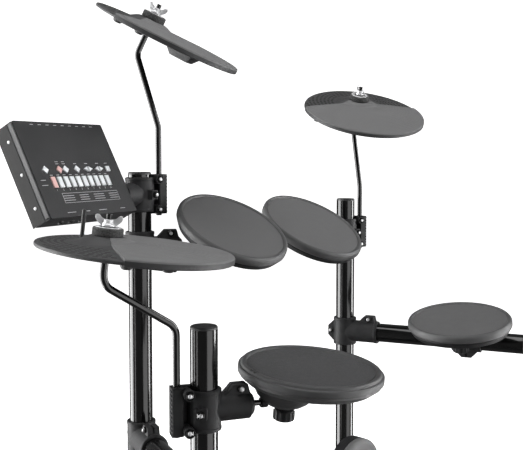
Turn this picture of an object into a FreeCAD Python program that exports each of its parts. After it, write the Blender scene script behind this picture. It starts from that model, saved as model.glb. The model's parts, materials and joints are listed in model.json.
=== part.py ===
import FreeCAD, Part
import math
import os

V = FreeCAD.Vector
UP = V(0, 0, 1)

# Rack of black steel tubes: four posts, two side tubes, one cross tube.
TUBE_DIAMETER = 38.1
TUBE_WALL = 1.6
FAR_POST_SPAN = 550.0
SIDE_SPLAY_DEG = 21.0
LEFT_SIDE_SPAN = 286.0
RIGHT_SIDE_SPAN = 440.0
LEFT_FAR_POST_HEIGHT = 872.0
RIGHT_FAR_POST_HEIGHT = 808.0
LEFT_NEAR_POST_HEIGHT = 669.0
RIGHT_NEAR_POST_HEIGHT = 660.0
LEFT_SIDE_TUBE_Z = 430.0
RIGHT_SIDE_TUBE_Z = 527.0
CROSS_TUBE_Z = 210.0
CAP_TOP = 4.0
CAP_CHAMFER = 1.5
CAP_PLUG_DEPTH = 16.0
CAP_CLEARANCE = 0.1
FOOT_DIAMETER = 54.0
FOOT_HEIGHT = 42.0
FOOT_FLOOR = 6.0
FOOT_TAPER = 4.0

# Moulded clamps that grip the posts and tubes.
CLAMP_CLEARANCE = 0.12
SLEEVE_DIAMETER = 46.5
SLEEVE_HEIGHT = 57.0
SLEEVE_CHAMFER = 1.5
SLEEVE_SEAM_DEG = 60.0
SOCKET_DIAMETER = 45.0
TEE_REACH = 73.0
TUBE_END_GAP = 1.0
EAR_WIDTH = 20.0
EAR_LENGTH = 20.0
EAR_SLOPE = 21.0
EAR_TIP = 6.0
EAR_SETBACK = 9.0
EAR_RISE = 11.0
EAR_SLOT = 2.4
BOSS_DIAMETER = 39.0
BOSS_REACH = 69.0
BOSS_CHAMFER = 6.0
FLOOR_BOSS_REACH = 34.0
FLOOR_BOSS_RISE = 22.0
MODULE_BOSS_REACH = 51.0

# Hexagon bolts, all alike.
BOLT_SHANK = 6.0
BOLT_HEAD_FLATS = 10.0
BOLT_HEAD_HEIGHT = 4.5
BOLT_CLEARANCE = 0.1
BOLT_SINK = 3.0
BOLT_SINK_DIAMETER = 12.2

# Cymbal rods and the jaws that hold them.
ROD_DIAMETER = 10.0
ROD_OFFSET = 38.0
ROD_CLEARANCE = 0.3
ROD_TAIL = 36.0
ROD_BEND_RADIUS = 22.0
JAW_HEIGHT = 66.0
JAW_DEPTH = 9.0
JAW_FRONT = 13.0
JAW_GAP = 0.8
JAW_INNER = 30.5
JAW_OUTER = 46.5
JAW_BARREL = 15.0
JAW_BARREL_REACH = 24.0
JAW_BOLT_RADIUS = 24.5
JAW_BOLT_RISE = 25.0
LUG_INNER = 16.0
SET_BOSS = 15.0
SET_BOSS_REACH = 31.0
SET_BOLT_TURN_DEG = 70.0

# Clamp heights and headings; headings run anticlockwise from the drummer's right.
CRASH_CLAMP_Z = 835.0
CRASH_BLOCK_DEG = -5.0
MODULE_YAW_DEG = 15.7
TOM_1_CLAMP_Z = 746.0
TOM_1_DEG = -35.0
RIDE_CLAMP_Z = 737.0
RIDE_BLOCK_DEG = -15.0
TOM_2_DEG = 200.0
HIHAT_CLAMP_Z = 555.0
HIHAT_BLOCK_DEG = 150.0
SNARE_DEG = -26.0
FLOOR_CLAMP_ALONG = 257.0

# Rubber pads on turned shells, carried on short rods by a bowl underneath.
TOM_DIAMETER = 196.0
SNARE_DIAMETER = 209.0
PAD_RUBBER_HEIGHT = 15.0
PAD_HEAD_RECESS = 2.5
PAD_LIP_WIDTH = 8.0
PAD_LIP_ROUND = 4.0
SNARE_STEP_WIDTH = 4.0
SNARE_STEP_DROP = 4.0
SHELL_HEIGHT = 11.0
SHELL_INSET = 3.0
SNARE_TAPER = 10.0
TOM_TAPER = 5.0
SHELL_WALL = 3.0
BOWL_DIAMETER = 94.0
BOWL_DEPTH = 32.0
FLOOR_BOWL_DEPTH = 21.0
BOWL_OFFSET = 36.0
BOWL_SHARES = ((1.0, 0.0), (0.96, 0.25), (0.87, 0.5), (0.72, 0.75), (0.55, 0.92), (0.41, 1.0))
PAD_ROD_DIAMETER = 8.0
ROD_ABOVE_NOSE = 8.0
PAD_ROD_GRIP = 24.0
PAD_ROD_SEAT = 30.0
PAD_BORE_CLEARANCE = 0.35
SENSOR_DIAMETER = 36.0
KNOB_DIAMETER = 31.0
KNOB_HEIGHT = 16.0
KNOB_NECK = 18.0
KNOB_NECK_HEIGHT = 5.0
KNOB_STEM = 9.0
KNOB_STEM_GAP = 2.2
KNOB_CLEARANCE = 0.35
SNARE_REACH = 119.0
TOM_1_REACH = 121.5
TOM_1_BOWL_OFFSET = 20.0
TOM_2_REACH = 208.0
FLOOR_REACH = 84.0
SNARE_LEAN_DEG = 5.5
SNARE_LEAN_HEADING_DEG = -77.0
TOM_LEAN_DEG = 31.0
TOM_LEAN_HEADING_DEG = -90.0
FLOOR_LEAN_DEG = 10.0
FLOOR_LEAN_HEADING_DEG = 191.0

# Cymbal pads: a moulded bow with an off-centre bell and a rubber strike zone.
CYMBAL_DIAMETER = 254.0
CYMBAL_HOLE = 12.4
CYMBAL_HOLE_OFFSET = 38.0
CYMBAL_RISE = 6.0
BOW_THICKNESS = 5.0
BELL_BASE_DIAMETER = 100.0
BELL_TOP_DIAMETER = 44.0
BELL_HEIGHT = 7.0
SKIN_THICKNESS = 3.0
SKIN_EDGE_HEIGHT = 9.0
SKIN_EDGE_WALL = 3.5
SKIN_CHORD = 2.0
SKIN_SPREAD_DEG = 9.0
JACK_BOX_LENGTH = 54.0
JACK_BOX_WIDTH = 40.0
JACK_BOX_DEPTH = 20.0
JACK_BOX_AHEAD = 74.0
JACK_BOX_DRAFT = 9.0
FELT_DIAMETER = 40.0
FELT_HEIGHT = 11.0
LOWER_FELT_HEIGHT = 6.0
FELT_GAP = 1.2
FELT_BORE_CLEARANCE = 1.7
STUD_DIAMETER = 8.0
STUD_ABOVE_NUT = 7.0
COLLAR_DIAMETER = 26.0
COLLAR_HEIGHT = 6.0
NUT_HUB_DIAMETER = 17.0
NUT_HUB_HEIGHT = 9.0
NUT_SPAN = 36.0
NUT_WING_THICKNESS = 3.2
NUT_WING_RISE = 15.0
NUT_WING_WIDTH = 11.0
NUT_CLEARANCE = 0.3
LEAN_RISE = 122.0
LEAN_BACK = 38.0
TOP_BACK = 9.0
CRASH_LEAN_DEG = 27.5
RIDE_LEAN_DEG = 24.5
CRASH_HEADING_DEG = -63.0
RIDE_HEADING_DEG = -120.0
CRASH_HOLE_Z = 1124.0
RIDE_HOLE_Z = 1018.0
HIHAT_HOLE_Z = 797.0
HIHAT_LEAN_DEG = 6.4
HIHAT_HEADING_DEG = -46.5
HIHAT_ROD_RUN_DEG = 165.7
HIHAT_ROD_RUN = 96.5
HIHAT_ROD_NECK = 48.0
HIHAT_ROD_KNEE_Z = 669.0
HIHAT_ROD_ELBOW_Z = 733.0
PEG_DIAMETER = 5.6
PEG_HEIGHT = 44.0
PEG_RADIUS = 46.0
PEG_HEADING_DEG = 145.0

# Sound module: shallow case, flat panel, rows of small keys.
MODULE_WIDTH = 197.0
MODULE_HEIGHT = 153.0
MODULE_DEPTH = 36.0
MODULE_WALL = 2.5
MODULE_CORNER = 5.0
MODULE_LEAN_DEG = 27.4
PANEL_THICKNESS = 3.0
PIVOT_BELOW_CENTRE = 42.0
PIVOT_PIN = 12.0
PIVOT_PIN_DEPTH = 14.0
PIVOT_CLEARANCE = 0.3
PIVOT_HUB = 34.0
PIVOT_HUB_DEPTH = 18.0
BOARD_INSET = 12.0
BOARD_THICKNESS = 1.6
BOARD_BEHIND_PANEL = 9.0
STANDOFF_DIAMETER = 7.0
KEY_PROUD = 1.6
KEY_TRAVEL = 1.2
KEY_FLOOR_GAP = 1.5
KEY_CLEARANCE = 0.4
KEY_SIZE = 8.5
DIAMOND_TURN_DEG = 45.0
NUMBER_KEY_WIDTH = 8.6
NUMBER_KEY_HEIGHT = 17.0
NUMBER_KEY_PITCH = 13.5
NUMBER_KEY_COUNT = 10
ROCKER_ARROW_GAP = 2.6
KEY_ROW_SHARE = 0.485
NUMBER_ROW_SHARE = 0.355
NUMBER_MIDDLE_SHARE = 0.486
MIDDLE_SHARE = 0.5
MENU_KEY_SHARE = 0.136
SONG_KEY_SHARES = (0.286, 0.355)
CLICK_KEY_SHARE = 0.482
TEMPO_KEY_SHARE = 0.611
KIT_KEY_SHARE = 0.741
SAVE_KEY_SHARE = 0.849

# Kick pad on its stand, with a pedal that swings a beater at it.
KICK_DIAMETER = 116.0
KICK_TOP_Z = 414.0
KICK_Y = -250.0
KICK_RUBBER = 11.0
KICK_SHELL = 17.0
KICK_SHELL_WALL = 4.0
STAND_WIDTH = 230.0
STAND_LENGTH = 240.0
STAND_CLEAR = 22.0
STAND_PLATE = 6.0
COLUMN_WIDTH = 74.0
COLUMN_DEPTH = 24.0
COLUMN_SETBACK = 34.0
COLUMN_WALL = 3.0
BRACE_THICKNESS = 4.0
BRACE_RUN = 120.0
BRACE_RISE = 200.0
PEDAL_WIDTH = 96.0
PEDAL_PLATE = 5.0
PEDAL_POST = 12.0
PEDAL_POST_DEPTH = 26.0
AXLE_Z = 142.0
AXLE_DIAMETER = 11.0
AXLE_STUB = 7.4
AXLE_CLEARANCE = 0.3
AXLE_STUB_REACH = 10.0
POST_ABOVE_AXLE = 16.0
LEVER_RADIUS = 45.0
LEVER_THICKNESS = 6.0
LEVER_WIDTH = 12.0
BEATER_SWING_DEG = 38.0
BEATER_SHAFT = 8.0
BEATER_HEAD_DIAMETER = 44.0
BEATER_HEAD_LENGTH = 36.0
BEATER_GAP = 1.0
LINK_LENGTH = 60.0
LINK_WIDTH = 14.0
LINK_THICKNESS = 4.0
LINK_EYE = 10.0
LINK_PIN = 5.0
LINK_SIDE_GAP = 0.6
BOARD_REACH = 215.0
BOARD_WIDTH = 66.0
BOARD_PLATE = 8.0
BOARD_LUG = 6.0
BOARD_LUG_WIDTH = 16.0
LINK_RISE = 10.0
BOARD_NOSE = 14.0
HEEL_Z = 22.0
HEEL_TAIL = 26.0
HINGE_PIN = 6.0
HINGE_KNUCKLE = 13.0
HINGE_CLEARANCE = 0.3
HINGE_CHEEK = 7.0
HINGE_END_GAP = 0.5
HINGE_CHEEK_DEPTH = 18.0

# Hi-hat controller pedal on the floor by the drummer's left foot.
HIHAT_PEDAL_X = -205.0
HIHAT_PEDAL_TOE_Y = -360.0
HIHAT_PEDAL_WIDTH = 100.0
HIHAT_PEDAL_RISE_DEG = 15.0
HIHAT_PEDAL_TRAVEL_DEG = 8.0
HIHAT_SENSOR_GAP = 1.0
HIHAT_SENSOR_LENGTH = 46.0

# One overrun serves every cut.
OVERRUN = 5.0

# Share of a unit tangent above which an edge counts as square to a face.
UPRIGHT_SHARE = 0.9

TUBE_R = TUBE_DIAMETER / 2
SLEEVE_R = SLEEVE_DIAMETER / 2
PAD_LIP_DEPTH = PAD_RUBBER_HEIGHT + SHELL_HEIGHT
KNOB_STEM_REACH = ROD_ABOVE_NOSE - PAD_ROD_DIAMETER / 2 - KNOB_STEM_GAP

SHAPES = {}


def heading(degrees):
    """Level unit vector at an angle anticlockwise from the drummer's right."""
    return V(math.cos(math.radians(degrees)), math.sin(math.radians(degrees)), 0)


def leaning(heading_degrees, lean_degrees):
    """Unit vector that leans off the vertical towards a heading."""
    lean = math.radians(lean_degrees)
    return heading(heading_degrees) * math.sin(lean) + UP * math.cos(lean)


def placed(origin, along_z, along_x):
    """Placement with the given Z axis and X as near as it can be to along_x."""
    side = along_z.cross(along_x)
    return FreeCAD.Placement(origin, FreeCAD.Rotation(along_x, side, along_z, "ZXY"))


def rod(radius, start, end):
    """Round bar between two points."""
    run = end - start
    return Part.makeCylinder(radius, run.Length, start, run)


def block(x_size, y_size, z_size, x_low=None, y_low=None, z_low=0):
    """Box, centred on X and Y unless a low side is given."""
    x_start = -x_size / 2 if x_low is None else x_low
    y_start = -y_size / 2 if y_low is None else y_low
    return Part.makeBox(x_size, y_size, z_size, V(x_start, y_start, z_low))


def turned(profile):
    """Solid of revolution about Z from (radius, height) points."""
    points = [V(r, 0, z) for r, z in profile]
    face = Part.Face(Part.makePolygon(points + points[:1]))
    return face.revolve(V(0, 0, 0), UP, 360)


def at(shape, placement):
    moved = shape.copy()
    moved.Placement = placement.multiply(moved.Placement)
    return moved


def add(node, *solids):
    SHAPES.setdefault(node, []).extend(solids)


def hex_bolt(head_centre, direction, grip):
    """Bolt with its head's seat at head_centre and its shank along direction."""
    flats = BOLT_HEAD_FLATS / 2
    corner = flats / math.cos(math.pi / 6)
    ring = [V(corner * math.cos(math.pi * k / 3), corner * math.sin(math.pi * k / 3), 0) for k in range(6)]
    head = Part.Face(Part.makePolygon(ring + ring[:1])).extrude(UP * -BOLT_HEAD_HEIGHT)
    shank = Part.makeCylinder(BOLT_SHANK / 2, grip)
    guide = V(1, 0, 0) if abs(direction.z) > abs(direction.x) else UP
    return at(head.fuse(shank).removeSplitter(), placed(head_centre, direction, guide))


def bolt_hole(head_centre, direction, grip):
    radius = BOLT_SHANK / 2 + BOLT_CLEARANCE
    return rod(radius, head_centre - direction * OVERRUN, head_centre + direction * (grip + OVERRUN))


# Post axes on the floor.
LEFT_FAR = V(-FAR_POST_SPAN / 2, 0, 0)
RIGHT_FAR = V(FAR_POST_SPAN / 2, 0, 0)
LEFT_RUN = heading(-90 - SIDE_SPLAY_DEG)
RIGHT_RUN = heading(-90 + SIDE_SPLAY_DEG)
LEFT_NEAR = LEFT_FAR + LEFT_RUN * LEFT_SIDE_SPAN
RIGHT_NEAR = RIGHT_FAR + RIGHT_RUN * RIGHT_SIDE_SPAN
CROSS_RUN = V(1, 0, 0)


def pipe(start, end):
    """Hollow rack tube."""
    return rod(TUBE_R, start, end).cut(rod(TUBE_R - TUBE_WALL, start, end))


def post(node, foot, height):
    """Upright tube with a plug cap on top and a rubber foot below."""
    top = foot + UP * (height - CAP_TOP)
    add(node, pipe(foot + UP * FOOT_FLOOR, top))
    disc = Part.makeCylinder(TUBE_R, CAP_TOP, top)
    rim = [e for e in disc.Edges if e.Closed and e.CenterOfMass.z > top.z + CAP_TOP / 2]
    disc = disc.makeChamfer(CAP_CHAMFER, rim)
    plug = rod(TUBE_R - TUBE_WALL - CAP_CLEARANCE, top - UP * CAP_PLUG_DEPTH, top)
    add("post_caps", disc.fuse(plug).removeSplitter())
    foot_r = FOOT_DIAMETER / 2
    cup = turned([(0, 0), (foot_r, 0), (foot_r, FOOT_FLOOR), (foot_r - FOOT_TAPER, FOOT_HEIGHT),
                  (0, FOOT_HEIGHT)])
    cup.translate(foot)
    bore = Part.makeCylinder(TUBE_R + CLAMP_CLEARANCE, FOOT_HEIGHT, foot + UP * FOOT_FLOOR)
    add("rubber_feet", cup.cut(bore))


def rack_tube(node, start_post, end_post, run, z):
    """Level tube whose ends stop just short of the two posts."""
    reach = TUBE_R + CLAMP_CLEARANCE + TUBE_END_GAP
    start = start_post + UP * z + run * reach
    end = end_post + UP * z - run * reach
    add(node, pipe(start, end))


def ear(centre, out, along, tip_slope):
    """Split ear that slopes up off a clamp; its bolt crosses the slot."""
    frame = placed(centre, out, along)
    half = EAR_LENGTH / 2
    edge = [V(-half - EAR_SLOPE, 0, -EAR_RISE), V(-half, 0, EAR_RISE), V(half, 0, EAR_RISE),
            V(half + tip_slope, 0, -EAR_RISE)]
    body = Part.Face(Part.makePolygon(edge + edge[:1])).extrude(V(0, EAR_WIDTH, 0))
    body.translate(V(0, -EAR_WIDTH / 2, 0))
    slot = block((EAR_LENGTH + EAR_SLOPE) * 2, EAR_SLOT, EAR_RISE * 2, z_low=-EAR_SLOT)
    return at(body, frame), at(slot, frame), frame


def ear_bolt(frame):
    across = frame.Rotation.multVec(V(0, 1, 0))
    seat = frame.multVec(V(0, -EAR_WIDTH / 2, EAR_RISE / 2))
    return seat, across


def sleeve(centre):
    low = centre - UP * (SLEEVE_HEIGHT / 2)
    ring = Part.makeCylinder(SLEEVE_R, SLEEVE_HEIGHT, low)
    return ring.makeChamfer(SLEEVE_CHAMFER, [e for e in ring.Edges if e.Closed])


def post_bore(centre):
    length = SLEEVE_HEIGHT * 2
    return Part.makeCylinder(TUBE_R + CLAMP_CLEARANCE, length, centre - UP * SLEEVE_HEIGHT)


def bolt_through(shape, seat, direction, grip):
    add("clamp_bolts", hex_bolt(seat, direction, grip))
    return shape.cut(bolt_hole(seat, direction, grip))


def tee_clamp(post_axis, z, run):
    """Sleeve on a post with a socket for a level tube; built towards -X, then turned."""
    frame = placed(post_axis + UP * z, UP, -run)
    centre = V(0, 0, 0)
    away = V(-1, 0, 0)
    socket_end = away * TEE_REACH
    wrap, bore = sleeve(centre), post_bore(centre)
    for round_form in (wrap, bore):
        round_form.rotate(centre, UP, SLEEVE_SEAM_DEG)
    body = wrap.fuse(rod(SOCKET_DIAMETER / 2, centre, socket_end))
    back = ear(away * -SLEEVE_R, -away, UP, EAR_SLOPE)
    top_spot = away * (TEE_REACH - EAR_SETBACK - EAR_LENGTH / 2) + UP * (SOCKET_DIAMETER / 2)
    top = ear(top_spot, UP, away, EAR_TIP)
    body = body.fuse([back[0], top[0]])
    body = body.cut([back[1], top[1], bore])
    tube_start = away * (TUBE_R + CLAMP_CLEARANCE + TUBE_END_GAP / 2)
    body = body.cut(rod(TUBE_R + CLAMP_CLEARANCE, tube_start, socket_end + away * OVERRUN))
    for _, _, ear_frame in (back, top):
        seat, across = ear_bolt(ear_frame)
        body = body.cut(bolt_hole(seat, across, EAR_WIDTH))
        add("clamp_bolts", at(hex_bolt(seat, across, EAR_WIDTH), frame))
    add("tee_clamps", at(body.removeSplitter(), frame))


def rod_grip(boss_reach):
    """Length of a pad's rod inside its boss, kept clear of the gripped tube."""
    return min(PAD_ROD_GRIP, boss_reach - SLEEVE_R)


def boss(centre, out, reach):
    """Arm of a clamp: round boss and the bore for the rod it holds."""
    end = centre + out * reach
    arm = rod(BOSS_DIAMETER / 2, centre, end)
    tip = [e for e in arm.Edges if e.Closed and (e.CenterOfMass - end).Length < BOSS_CHAMFER]
    arm = arm.makeChamfer(BOSS_CHAMFER, tip)
    bore = rod(PAD_ROD_DIAMETER / 2 + CLAMP_CLEARANCE, end - out * rod_grip(reach), end + out * OVERRUN)
    return arm, bore


def rod_block(centre, block_deg, side):
    """Lug on a sleeve, the jaw bolted to it round a cymbal rod, and a set bolt in a square boss."""
    out = heading(block_deg)
    across = UP.cross(out) * side
    frame = placed(centre, across, out)
    seam = JAW_GAP / 2
    tall = V(0, JAW_HEIGHT, 0)
    groove = rod(ROD_DIAMETER / 2 + ROD_CLEARANCE, V(ROD_OFFSET, 0, 0) - tall, V(ROD_OFFSET, 0, 0) + tall)
    lug = block(JAW_OUTER - LUG_INNER, JAW_HEIGHT, JAW_DEPTH, x_low=LUG_INNER, z_low=-JAW_DEPTH - seam)
    jaw = block(JAW_OUTER - JAW_INNER, JAW_HEIGHT, JAW_FRONT, x_low=JAW_INNER, z_low=seam)
    jaw = jaw.makeChamfer(CAP_CHAMFER, [e for e in jaw.Edges if e.CenterOfMass.z > JAW_FRONT])
    seat_z = JAW_BARREL_REACH - BOLT_SINK
    seats = [V(JAW_BOLT_RADIUS, rise, seat_z) for rise in (-JAW_BOLT_RISE, JAW_BOLT_RISE)]
    for seat in seats:
        foot = V(seat.x, seat.y, seam)
        mouth = V(seat.x, seat.y, JAW_BARREL_REACH)
        bridge = block(JAW_INNER - seat.x + CAP_CHAMFER, JAW_BARREL, JAW_DEPTH, x_low=seat.x, z_low=seam)
        bridge.translate(V(0, seat.y, 0))
        jaw = jaw.fuse([rod(JAW_BARREL / 2, foot, mouth), bridge])
        jaw = jaw.cut(rod(BOLT_SINK_DIAMETER / 2, seat, mouth + UP * OVERRUN))
    jaw = jaw.cut([groove, rod(SLEEVE_R + JAW_GAP, -tall, tall)])
    holes = [groove]
    for seat in seats:
        grip = seat.z + seam + JAW_DEPTH
        holes.append(bolt_hole(seat, -UP, grip))
        jaw = jaw.cut(holes[-1])
        add("clamp_bolts", at(hex_bolt(seat, -UP, grip), frame))
    turn = math.radians(SET_BOLT_TURN_DEG)
    set_out = V(math.cos(turn), 0, math.sin(turn))
    set_boss = at(block(SET_BOSS, SET_BOSS, SET_BOSS_REACH - TUBE_R, z_low=TUBE_R),
                  placed(V(0, 0, 0), set_out, V(0, 1, 0)))
    set_seat = set_out * SET_BOSS_REACH
    set_grip = SET_BOSS_REACH - TUBE_R - CLAMP_CLEARANCE / 2
    add("clamp_bolts", at(hex_bolt(set_seat, -set_out, set_grip), frame))
    holes.append(bolt_hole(set_seat, -set_out, set_grip))
    grips = [at(lug, frame), at(set_boss, frame)]
    return grips, at(jaw.removeSplitter(), frame), [at(hole, frame) for hole in holes]


def pad_rod(centre, out, boss_reach, reach):
    """Short round rod from inside a boss to the bowl under a pad."""
    start = centre + out * (boss_reach - rod_grip(boss_reach))
    end = centre + out * (reach + PAD_ROD_SEAT / 2)
    add("pad_rods", rod(PAD_ROD_DIAMETER / 2, start, end))


def post_clamp(post_axis, z, boss_deg, boss_reach, block_spec=None):
    """Sleeve with a boss for a pad's rod and, on some, a rod block as well."""
    centre = post_axis + UP * z
    out = heading(boss_deg)
    arm, bore = boss(centre, out, boss_reach)
    spot = centre + out * (boss_reach - EAR_SETBACK - EAR_LENGTH / 2) + UP * (BOSS_DIAMETER / 2)
    lug = ear(spot, UP, out, EAR_TIP)
    body = sleeve(centre).fuse([arm, lug[0]])
    holes = [lug[1], bore, post_bore(centre)]
    if block_spec:
        grips, jaw, rod_holes = rod_block(centre, *block_spec)
        body = body.fuse(grips)
        holes += rod_holes
        add("post_clamps", jaw)
    body = body.cut(holes)
    seat, across = ear_bolt(lug[2])
    body = bolt_through(body, seat, across, EAR_WIDTH)
    add("post_clamps", body.removeSplitter())
    return centre, out


def module_clamp():
    """Top clamp of the left far post: a short boss with a pin, and the crash rod's block."""
    centre = LEFT_FAR + UP * CRASH_CLAMP_Z
    out = heading(180 + MODULE_YAW_DEG)
    end = centre + out * MODULE_BOSS_REACH
    arm = rod(BOSS_DIAMETER / 2, centre, end)
    pin = rod(PIVOT_PIN / 2, centre, end + out * PIVOT_PIN_DEPTH)
    grips, jaw, rod_holes = rod_block(centre, CRASH_BLOCK_DEG, -1)
    body = sleeve(centre).fuse([arm, pin] + grips).cut([post_bore(centre)] + rod_holes)
    add("post_clamps", body.removeSplitter(), jaw)
    return centre, out


def floor_clamp():
    """Clamp on the right side tube; its boss points inboard above the tube and its split ear hangs down."""
    centre = RIGHT_FAR + RIGHT_RUN * FLOOR_CLAMP_ALONG + UP * RIGHT_SIDE_TUBE_Z
    raised = centre + UP * FLOOR_BOSS_RISE
    out = heading(180 + SIDE_SPLAY_DEG)
    half = RIGHT_RUN * (SLEEVE_HEIGHT / 2)
    ring = rod(SLEEVE_R, centre - half, centre + half)
    arm, bore = boss(raised, out, FLOOR_BOSS_REACH)
    lug = ear(centre - UP * SLEEVE_R, -UP, RIGHT_RUN, EAR_SLOPE)
    tube = rod(TUBE_R + CLAMP_CLEARANCE, centre - half * 2, centre + half * 2)
    body = ring.fuse([arm, lug[0]]).cut([lug[1], bore, tube])
    seat, across = ear_bolt(lug[2])
    body = bolt_through(body, seat, across, EAR_WIDTH)
    add("post_clamps", body.removeSplitter())
    return raised, out


def pad_frame(clamp_centre, out, reach, lean_heading, lean, bowl_offset, rod_depth):
    """Placement of a pad: Z is its face's normal, X runs away from its clamp."""
    normal = leaning(lean_heading, lean)
    in_plane = out - normal * out.dot(normal)
    in_plane.normalize()
    pivot = clamp_centre + out * reach
    face = pivot + normal * rod_depth + in_plane * bowl_offset
    return placed(face, normal, in_plane), pivot


def pad_rubber(diameter, stepped):
    """Rubber top: flat head inside a rounded lip; the snare's rim is stepped."""
    r = diameter / 2
    inner = r - PAD_LIP_WIDTH
    half = PAD_LIP_ROUND / 2
    outline = [(0, -PAD_HEAD_RECESS), (inner, -PAD_HEAD_RECESS), (inner + half, 0)]
    if stepped:
        step = r - SNARE_STEP_WIDTH
        outline += [(step, 0), (step, -SNARE_STEP_DROP), (r - half / 2, -SNARE_STEP_DROP)]
        outline += [(r, -SNARE_STEP_DROP - half / 2)]
    else:
        outline += [(r - PAD_LIP_ROUND, 0), (r - half / 2, -half), (r, -PAD_LIP_ROUND)]
    outline += [(r, -PAD_RUBBER_HEIGHT), (0, -PAD_RUBBER_HEIGHT)]
    return turned(outline)


def pad_shell(diameter, taper, bowl_offset, bowl_depth, bore):
    """Tapered tray under the rubber with the bowl that takes the rod."""
    r = diameter / 2 - SHELL_INSET
    low = -PAD_LIP_DEPTH
    top = -PAD_RUBBER_HEIGHT
    knee = top - SHELL_WALL
    tray = turned([(0, top), (r, top), (r, knee), (r - taper, low), (0, low)])
    hollow_r = r - taper - SHELL_WALL
    hollow = turned([(0, top + OVERRUN), (hollow_r, top + OVERRUN), (hollow_r, low + SHELL_WALL),
                     (0, low + SHELL_WALL)])
    bottom = low - bowl_depth
    side = [(BOWL_DIAMETER / 2 * out_share, low - bowl_depth * down_share)
            for out_share, down_share in BOWL_SHARES]
    bowl = turned([(0, low)] + side + [(0, bottom)])
    neck = Part.makeCylinder(KNOB_NECK / 2, KNOB_NECK_HEIGHT, V(0, 0, bottom - KNOB_NECK_HEIGHT))
    stem_hole = Part.makeCylinder(KNOB_STEM / 2 + KNOB_CLEARANCE, ROD_ABOVE_NOSE + KNOB_NECK_HEIGHT,
                                  V(0, 0, bottom - KNOB_NECK_HEIGHT))
    aside = V(-bowl_offset, 0, 0)
    for piece in (bowl, neck, stem_hole):
        piece.translate(aside)
    return tray.fuse([bowl, neck]).cut([hollow, stem_hole, bore]).removeSplitter()


def pad_knob(bowl_offset, bowl_depth):
    """Clamp knob: round grip under the bowl and the stem that it turns."""
    seat = -PAD_LIP_DEPTH - bowl_depth - KNOB_NECK_HEIGHT - KNOB_CLEARANCE
    grip = Part.makeCylinder(KNOB_DIAMETER / 2, KNOB_HEIGHT, V(0, 0, seat - KNOB_HEIGHT))
    grip = grip.makeChamfer(CAP_CHAMFER, [e for e in grip.Edges if e.Closed])
    stem = Part.makeCylinder(KNOB_STEM / 2, KNOB_STEM_REACH + KNOB_NECK_HEIGHT, V(0, 0, seat))
    knob = grip.fuse(stem).removeSplitter()
    knob.translate(V(-bowl_offset, 0, 0))
    return knob


PADS = {}


def pad(name, diameter, clamp, boss_reach, reach, lean_heading, lean, bowl_offset, bowl_depth,
        stepped=False):
    centre, out = clamp
    rod_depth = PAD_LIP_DEPTH + bowl_depth - ROD_ABOVE_NOSE
    taper = SNARE_TAPER if stepped else TOM_TAPER
    frame, pivot = pad_frame(centre, out, reach, lean_heading, lean, bowl_offset, rod_depth)
    pad_rod(centre, out, boss_reach, reach)
    turn_back = frame.inverse()
    start = turn_back.multVec(pivot - out * (BOWL_DIAMETER / 2 + OVERRUN))
    end = turn_back.multVec(pivot + out * (PAD_ROD_SEAT / 2 + PAD_BORE_CLEARANCE))
    bore = rod(PAD_ROD_DIAMETER / 2 + PAD_BORE_CLEARANCE, start, end)
    sensor_floor = -PAD_LIP_DEPTH + SHELL_WALL
    sensor = Part.makeCylinder(SENSOR_DIAMETER / 2, SHELL_HEIGHT - SHELL_WALL, V(0, 0, sensor_floor))
    shell = pad_shell(diameter, taper, bowl_offset, bowl_depth, bore)
    add(name + "_shell", at(shell, frame), at(sensor, frame))
    add(name + "_rubber", at(pad_rubber(diameter, stepped), frame))
    add(name + "_knob", at(pad_knob(bowl_offset, bowl_depth), frame))
    PADS[name] = {"frame": frame, "pivot": pivot, "axis": out, "offset": bowl_offset}


CYMBALS = {}


def bent_rod(points):
    """Round rod along straight runs joined by tangent arcs."""
    edges = []
    last = points[0]
    for before, corner, after in zip(points, points[1:], points[2:]):
        back = (before - corner).normalize()
        ahead = (after - corner).normalize()
        half_turn = (math.pi - back.getAngle(ahead)) / 2
        setback = ROD_BEND_RADIUS * math.tan(half_turn)
        bisector = (back + ahead).normalize()
        middle = corner + bisector * (ROD_BEND_RADIUS / math.cos(half_turn) - ROD_BEND_RADIUS)
        arc_start = corner + back * setback
        arc_end = corner + ahead * setback
        edges.append(Part.LineSegment(last, arc_start).toShape())
        edges.append(Part.Arc(arc_start, middle, arc_end).toShape())
        last = arc_end
    edges.append(Part.LineSegment(last, points[-1]).toShape())
    path = Part.Wire(edges)
    first_run = points[1] - points[0]
    section = Part.Wire(Part.makeCircle(ROD_DIAMETER / 2, points[0], first_run))
    return path.makePipeShell([section], True, True)


def bow_height(radius):
    """Height of the bow's upper face at a radius from the disc's centre."""
    edge = CYMBAL_DIAMETER / 2
    return -BELL_HEIGHT - CYMBAL_RISE * radius / edge


def cymbal_bell():
    """Bell cone round the rod hole, as a solid and as the hollow below it."""
    base_z = bow_height(CYMBAL_DIAMETER / 2)
    wide = BELL_BASE_DIAMETER / 2
    top = BELL_TOP_DIAMETER / 2
    solid = Part.makeCone(wide, top, -base_z, V(0, 0, base_z))
    hollow = Part.makeCone(wide, top, -base_z, V(0, 0, base_z - BOW_THICKNESS * 2))
    return solid, hollow


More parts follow.
